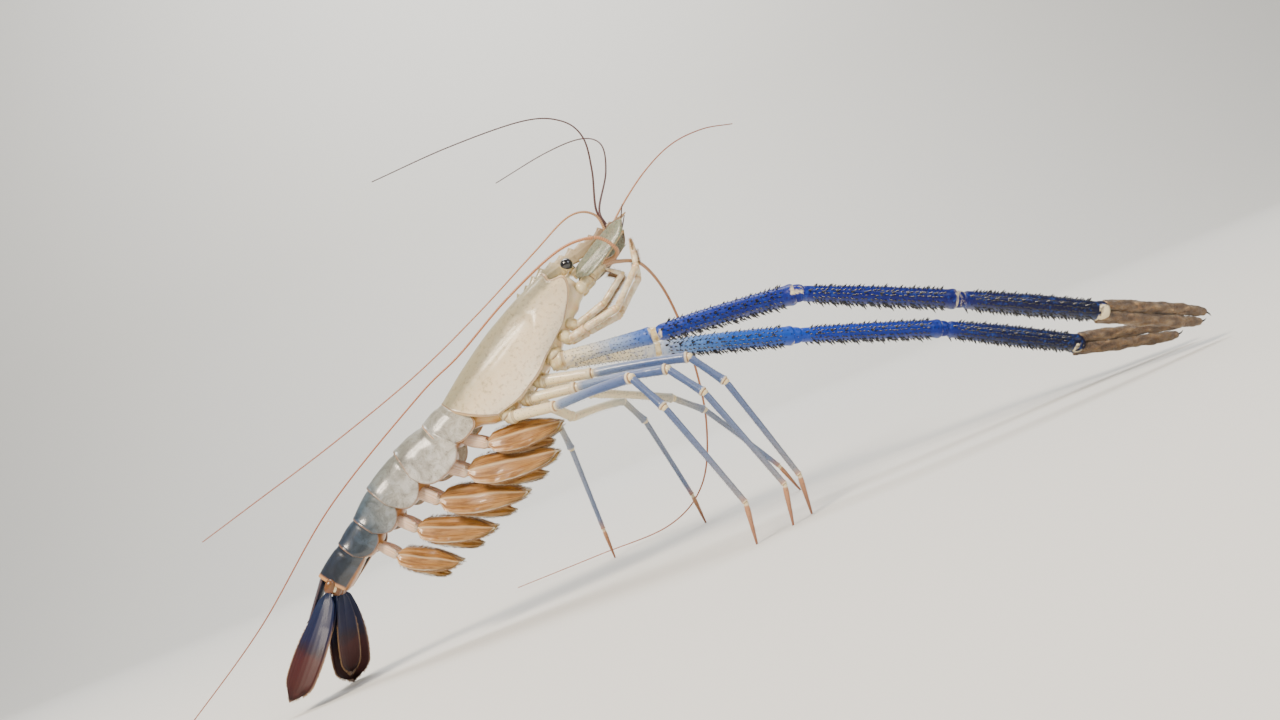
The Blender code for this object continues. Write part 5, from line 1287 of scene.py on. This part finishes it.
# Great claws. A big male's arms are longer than its body: four blue lengths ringed with black
# spines, then two slim fingers in matted brown velvet, each ending in a small dark hook.
CLAW_LENGTHS = (54.0, 82.0, 88.0, 82.0, 60.0)
CLAW_RADII = ((4.4, 4.2, 4.9), (4.7, 5.3, 5.6), (4.3, 5.0, 5.3), (4.9, 5.7, 5.2))
CLAW_BOWS, CLAW_SHARES = (0.3, 0.8, 0.5, 0.3), (0.0, 0.2, 0.45, 0.72, 1.0)
SPINULES = ((11, 17, 1.1, 0.3), (13, 25, 2.5, 0.56), (13, 28, 2.4, 0.56), (14, 34, 2.1, 0.52))   # as on a leg
LARGE_SPINES = ((1, 9, 2.6), (2, 10, 2.6), (3, 10, 2.2))    # length of the limb, count in a row, size
TUFTS, COVERED = 30000, 0.985               # on each finger, and the share of its length that has them
FINGER_RADIUS = 3.1
FIXED_FINGER = ((-4, 1, 1.0), (12, 1, 1.08), (34, 1, 1.05), (48, 0.95, 0.95), (54, 0.87, 0.8),
                (57, 0.8, 0.45), (57.8, 0.78, 0.1))
MOVING_FINGER = ((0.3, 1, 1.0), (12, 1, 1.08), (36, 1, 1.05), (50, 0.95, 0.95), (57, 0.86, 0.8),
                 (60, 0.78, 0.45), (60.8, 0.76, 0.1))
HOOK = ((-4.5, 0.8, 0.9), (-1.0, 0.74, 0.72), (1.4, 0.52, 0.42), (2.8, 0.1, 0.06))     # from the velvet's end
SPINE_ROWS = (15, 75, 135, 195, 245, 300)   # angles of the rows of large spines, up is 90

# Claw shell: thick blue lime, wet. The place mark runs down the right claw from 0 to 0.5 and the
# left one from 0.5 to 1; cream rings, dark dust and a paler belly break the blue.
claw_shell = Finish("claw_shell", 0.38, coat=(0.1, 0.12), inside=(0.02, 0.001), shine=0.2)
cloud = claw_shell.add("TexNoise", {"Scale": 130.0, "Detail": 6.0, "Roughness": 0.65})
shift = claw_shell.add("Math", {1: 0.04, 2: -0.02}, {0: cloud}, operation="MULTIPLY_ADD")
place_up = claw_shell.add("Math", links={0: "along", 1: shift}, operation="ADD")
stretch = claw_shell.add("ValToRGB", links={"Fac": place_up}, stops=(
    (0.0, "#ead9ae"), (0.03, "#d8cfb6"), (0.062, "#8fa3c4"), (0.09, "#4a6cb4"), (0.11, "#142f8c"),
    (0.17, "#0d1f78"), (0.26, "#0b176c"), (0.36, "#0a1056"), (0.41, "#0a0d3c"), (0.5, "#080b26"),
    (0.501, "#ead9ae"), (0.57, "#e3d7b6"), (0.6, "#bcc2c6"), (0.63, "#5f8bc8"), (0.67, "#1a52ae"),
    (0.75, "#10309a"), (0.86, "#0d1f74"), (0.91, "#0a1448"), (1.0, "#080b26")))
pale = claw_shell.add("ValToRGB", links={"Fac": cloud}, stops=(
    (0.3, "#7d8fb8"), (0.55, "#b9c2cf"), (0.75, "#e2ddc8")))
belly = claw_shell.add("MapRange", {"From Min": 0.28, "From Max": 0.0, "To Max": 0.24}, {"Value": "upper"})
sided = claw_shell.add("Mix", links={FIRST: stretch, SECOND: pale, SHARE: belly})
blot = claw_shell.add("TexNoise", {"Scale": 330.0, "Detail": 5.0, "Roughness": 0.7, "Distortion": 0.8})
blot_cover = claw_shell.add("MapRange", {"From Min": 0.52, "From Max": 0.72, "To Max": 0.7},
                            {"Value": blot})
blotted = claw_shell.add("Mix", {SECOND: tint("#2850a8")}, {FIRST: sided, SHARE: blot_cover})
dust = claw_shell.add("TexVoronoi", {"Scale": 480.0})
dust_tone = claw_shell.add("ValToRGB", links={"Fac": dust}, stops=(
    (0.0, "#0c0c18"), (0.16, "#4a4d60"), (0.3, "#ffffff"), (1.0, "#ffffff")))
dusted = claw_shell.add("Mix", {SHARE: 0.7}, {FIRST: blotted, SECOND: dust_tone}, blend_type="MULTIPLY")
patches = claw_shell.add("TexNoise", {"Scale": 95.0, "Detail": 4.0, "Roughness": 0.6, "Distortion": 0.5})
ring_tone = claw_shell.add("ValToRGB", links={"Fac": patches}, stops=(
    (0.36, "#1d4096"), (0.45, "#6d9bd6"), (0.51, "#cbbd9a"), (0.62, "#ead9b0")))
ring_edge = claw_shell.add("Math", {1: 2.6, 2: -1.36}, {0: patches}, operation="MULTIPLY_ADD")
ring_place = claw_shell.add("Math", {1: 0.72}, {0: "rim", 2: ring_edge}, operation="MULTIPLY_ADD")
ring_cover = claw_shell.add("MapRange", {"From Min": 0.6, "From Max": 0.82, "To Max": 0.92},
                            {"Value": ring_place})
ringed = claw_shell.add("Mix", links={FIRST: dusted, SECOND: ring_tone, SHARE: ring_cover})
fine = claw_shell.add("TexNoise", {"Scale": 700.0, "Detail": 4.0})
claw_shell.use(ringed, fine, 0.2, 0.0004)

# Velvet: the same brown on the skin of a finger and on its fur, with painted shade that darkens the
# creases of the mat and the roots of the tufts, and painted light on the tufts' tips.
velvet = Finish("matted_velvet", 0.7, sheen=0.25, sheen_rough=0.5)
mat = velvet.add("TexNoise", {"Scale": 200.0, "Detail": 3.0, "Roughness": 0.5})
# Painted shade: the fold height darkens the brown in the creases between the mats.
fold = velvet.add("Math", {1: 0.3, 2: -0.15}, {0: "upper"}, operation="MULTIPLY_ADD")
crease_shade_and_mat = velvet.add("Math", links={0: fold, 1: mat}, operation="ADD")
# Painted light and shade: each tuft is darker at its root and lighter toward its tip.
lift = velvet.add("Math", {1: 0.3}, {0: "rim"}, operation="MULTIPLY")
level_up = velvet.add("Math", links={0: lift, 1: crease_shade_and_mat}, operation="ADD")
fur_tone_and_shade = velvet.add("ValToRGB", links={"Fac": level_up}, stops=(
    (0.3, "#46331f"), (0.5, "#6a5036"), (0.7, "#8a6c4a"), (0.95, "#ad8f66")))
velvet.use(fur_tone_and_shade)


def large_spines(heap, a, b, radii, count, length, seed):
    """The rows of large spines along one length of a claw, where the solid has them."""
    rnd = random.Random(seed)
    d = unit(b - a)
    side, up = crosswise(d)
    feet, ways, sizes = [], [], []
    for row, angle in enumerate(SPINE_ROWS):
        for i in range(count):
            t = 0.07 + 0.86 * (i + 0.5 * (row % 2)) / count + rnd.uniform(-0.008, 0.008)
            turn = math.radians(angle + rnd.uniform(-5, 5))
            out = side * math.cos(turn) + up * math.sin(turn)
            ways.append(out + d * 0.55)
            sizes.append(length * rnd.uniform(0.8, 1.15) * (1.3 if math.sin(turn) < -0.3 else 1.0) + 0.5)
            feet.append(a + (b - a) * t + out * (np.interp(t, (0, 0.5, 1), radii) - 0.5))
    heap.thorns(feet, ways, np.array(sizes), 0.78, HORN, 0.5, 0.5, bend=d * 0.12, sides=9,
                levels=(0, 0.2, 0.4, 0.6, 0.8, 0.92))


def folds(turn, u):
    """Height of the velvet's wrinkles, which wind lengthwise round a finger."""
    waves = (0.3 * np.sin(3 * turn + 14 * u + 1) + 0.22 * np.sin(5 * turn - 23 * u)
             + 0.15 * np.sin(2 * turn + 41 * u))
    return waves * held((0.88 - u) * 8)


def velvet_finger(heap, line, radii):
    """Skin of a finger, wrinkled lengthwise under its fur."""
    way = unit(np.gradient(line, axis=0))
    side, up = crosswise(way)
    turn = turns(48)
    u = np.linspace(0, 1, len(line))
    rise = folds(turn[None, :], u[:, None])
    out = ring(side, up, turn)
    # The height mark carries the folds' height, which the velvet turns into painted shade in the creases.
    heap.grid(line[:, None] + out * (radii[:, None] * 0.95 + rise)[..., None], HAIR, 0.5, rise / 1.34 + 0.5,
              0.4, caps=(True, True))


def coat(heap, line, radii, seed, patch_at):
    """Velvet tufts all round a finger, combed to its tip and gathered into small mats."""
    rnd = np.random.default_rng(seed)
    way = unit(np.gradient(line, axis=0))
    side, up = crosswise(way)
    u = rnd.random(TUFTS) * COVERED
    place = u * (len(line) - 1)
    k = np.minimum(place.astype(int), len(line) - 2)
    part = (place - k)[:, None]
    centre = line[k] * (1 - part) + line[k + 1] * part
    turn = rnd.random(TUFTS) * 2 * math.pi
    out = side[k] * np.cos(turn)[:, None] + up[k] * np.sin(turn)[:, None]
    rise = folds(turn, u)
    foot = centre + out * (np.interp(place, np.arange(len(line)), radii) * 0.93 + rise)[:, None]
    drift = np.stack([ripple(foot, 2.4, seed + j) for j in range(3)], axis=1)
    comb = out * 0.55 + way[k] * 0.8 + drift * 0.35 + rnd.normal(0, 0.1, (TUFTS, 3))
    patch = np.stack([patch_at[0] + 0.01 + u * 0.45, patch_at[1] + 0.01 + turn * 0.07], axis=-1)
    size = rnd.uniform(0.7, 1.25, TUFTS) * (1 + 0.25 * drift[:, 0]) * np.clip((COVERED - u) * 12, 0.5, 1)
    # The height mark carries the folds' height for the velvet's painted crease shade; the rise along each
    # tuft gives its painted root shade and tip light.
    heap.thorns(foot, comb, size, 0.12, 0, 0.5, rise / 1.34 + 0.5, bend=-out * 0.22, sides=3, levels=(0.0,),
                patch=patch)


for number, (name, sign, *angles) in enumerate(CLAWS):
    points = chain(on_head(CLAW_ROOT, sign), CLAW_LENGTHS, angles)
    marks = [0.5 * number + 0.5 * share for share in CLAW_SHARES]
    arm, wrist, palm, thumb, fur = Heap(), Heap(), Heap(), Heap(), Heap()
    for k, limb in enumerate((arm, arm, wrist, palm)):
        a, b = points[k], points[k + 1]
        d = unit(b - a)
        article(limb, a - (d * 2.0 if k == 0 else 0), b + (0 if k < 3 else d * 1.5), CLAW_RADII[k], 0,
                (marks[k], marks[k + 1]), cols=40, rows=70, bow=CLAW_BOWS[k], lip=0.08, rough=0.09)
        if k < 3:
            blob(limb, b, unit(d + unit(points[k + 2] - b)), CLAW_RADII[k][2] * 0.9, CLAW_RADII[k][2] * 0.9,
                 JOINT if k == 0 else 0, rows=16, cols=28, tone=marks[k + 1], rim=0.62)
        spinules(limb, a + d * 4, b - d * 3, CLAW_RADII[k], *SPINULES[k], HORN, 100 + 10 * number + k,
                 lean=0.85)
    for limb, (k, count, size) in zip((arm, wrist, palm), LARGE_SPINES):
        large_spines(limb, points[k], points[k + 1], CLAW_RADII[k], count, size, 10 + k)
    hand, tip = points[4], points[5]
    d = unit(tip - hand)
    low = crosswise(d)[1] * -(FINGER_RADIUS + GAP)
    blob(palm, hand - d * 2.0, d, 4.8, 5.7, 0, rows=16, cols=36, tone=marks[4] - 0.01, rim=0.8)
    fixed = [(hand + d * ahead + low * share, FINGER_RADIUS * size) for ahead, share, size in FIXED_FINGER]
    moving = [(hand + d * ahead - low * share, FINGER_RADIUS * size) for ahead, share, size in MOVING_FINGER]
    for limb, rod, seed in ((palm, fixed, 5), (thumb, moving, 6)):
        line, size = eased_rod(rod, 100)
        velvet_finger(limb, line, size)
        side = low if seed == 5 else -low
        end = rod[-1][0] - side * 0.7
        hook = eased_rod([(end + d * ahead + side * share, radius) for ahead, share, radius in HOOK], 26)
        cord(limb, *hook, HORN, cols=18, rim=np.linspace(0.3, 1.0, 26))
        coat(fur, line, size, seed + number, (0.5 * (seed == 6), 0.5 * number))
    for limb, node_name, slot in ((arm, "arm", "claw_shell"), (wrist, "carpus", "claw_shell"),
                                  (palm, "palm", "claw_shell"), (thumb, "finger", "claw_fur")):
        limb.piece("claw_%s_%s_shell" % (name, node_name), [claw_shell, ivory, horn, velvet], slot,
                   "cheliped_%s_%s" % (name, node_name))
    fur.piece("claw_%s_fur" % name, [velvet], "claw_fur", "cheliped_%s_palm" % name,
              "cheliped_%s_finger" % name, mapped=True)
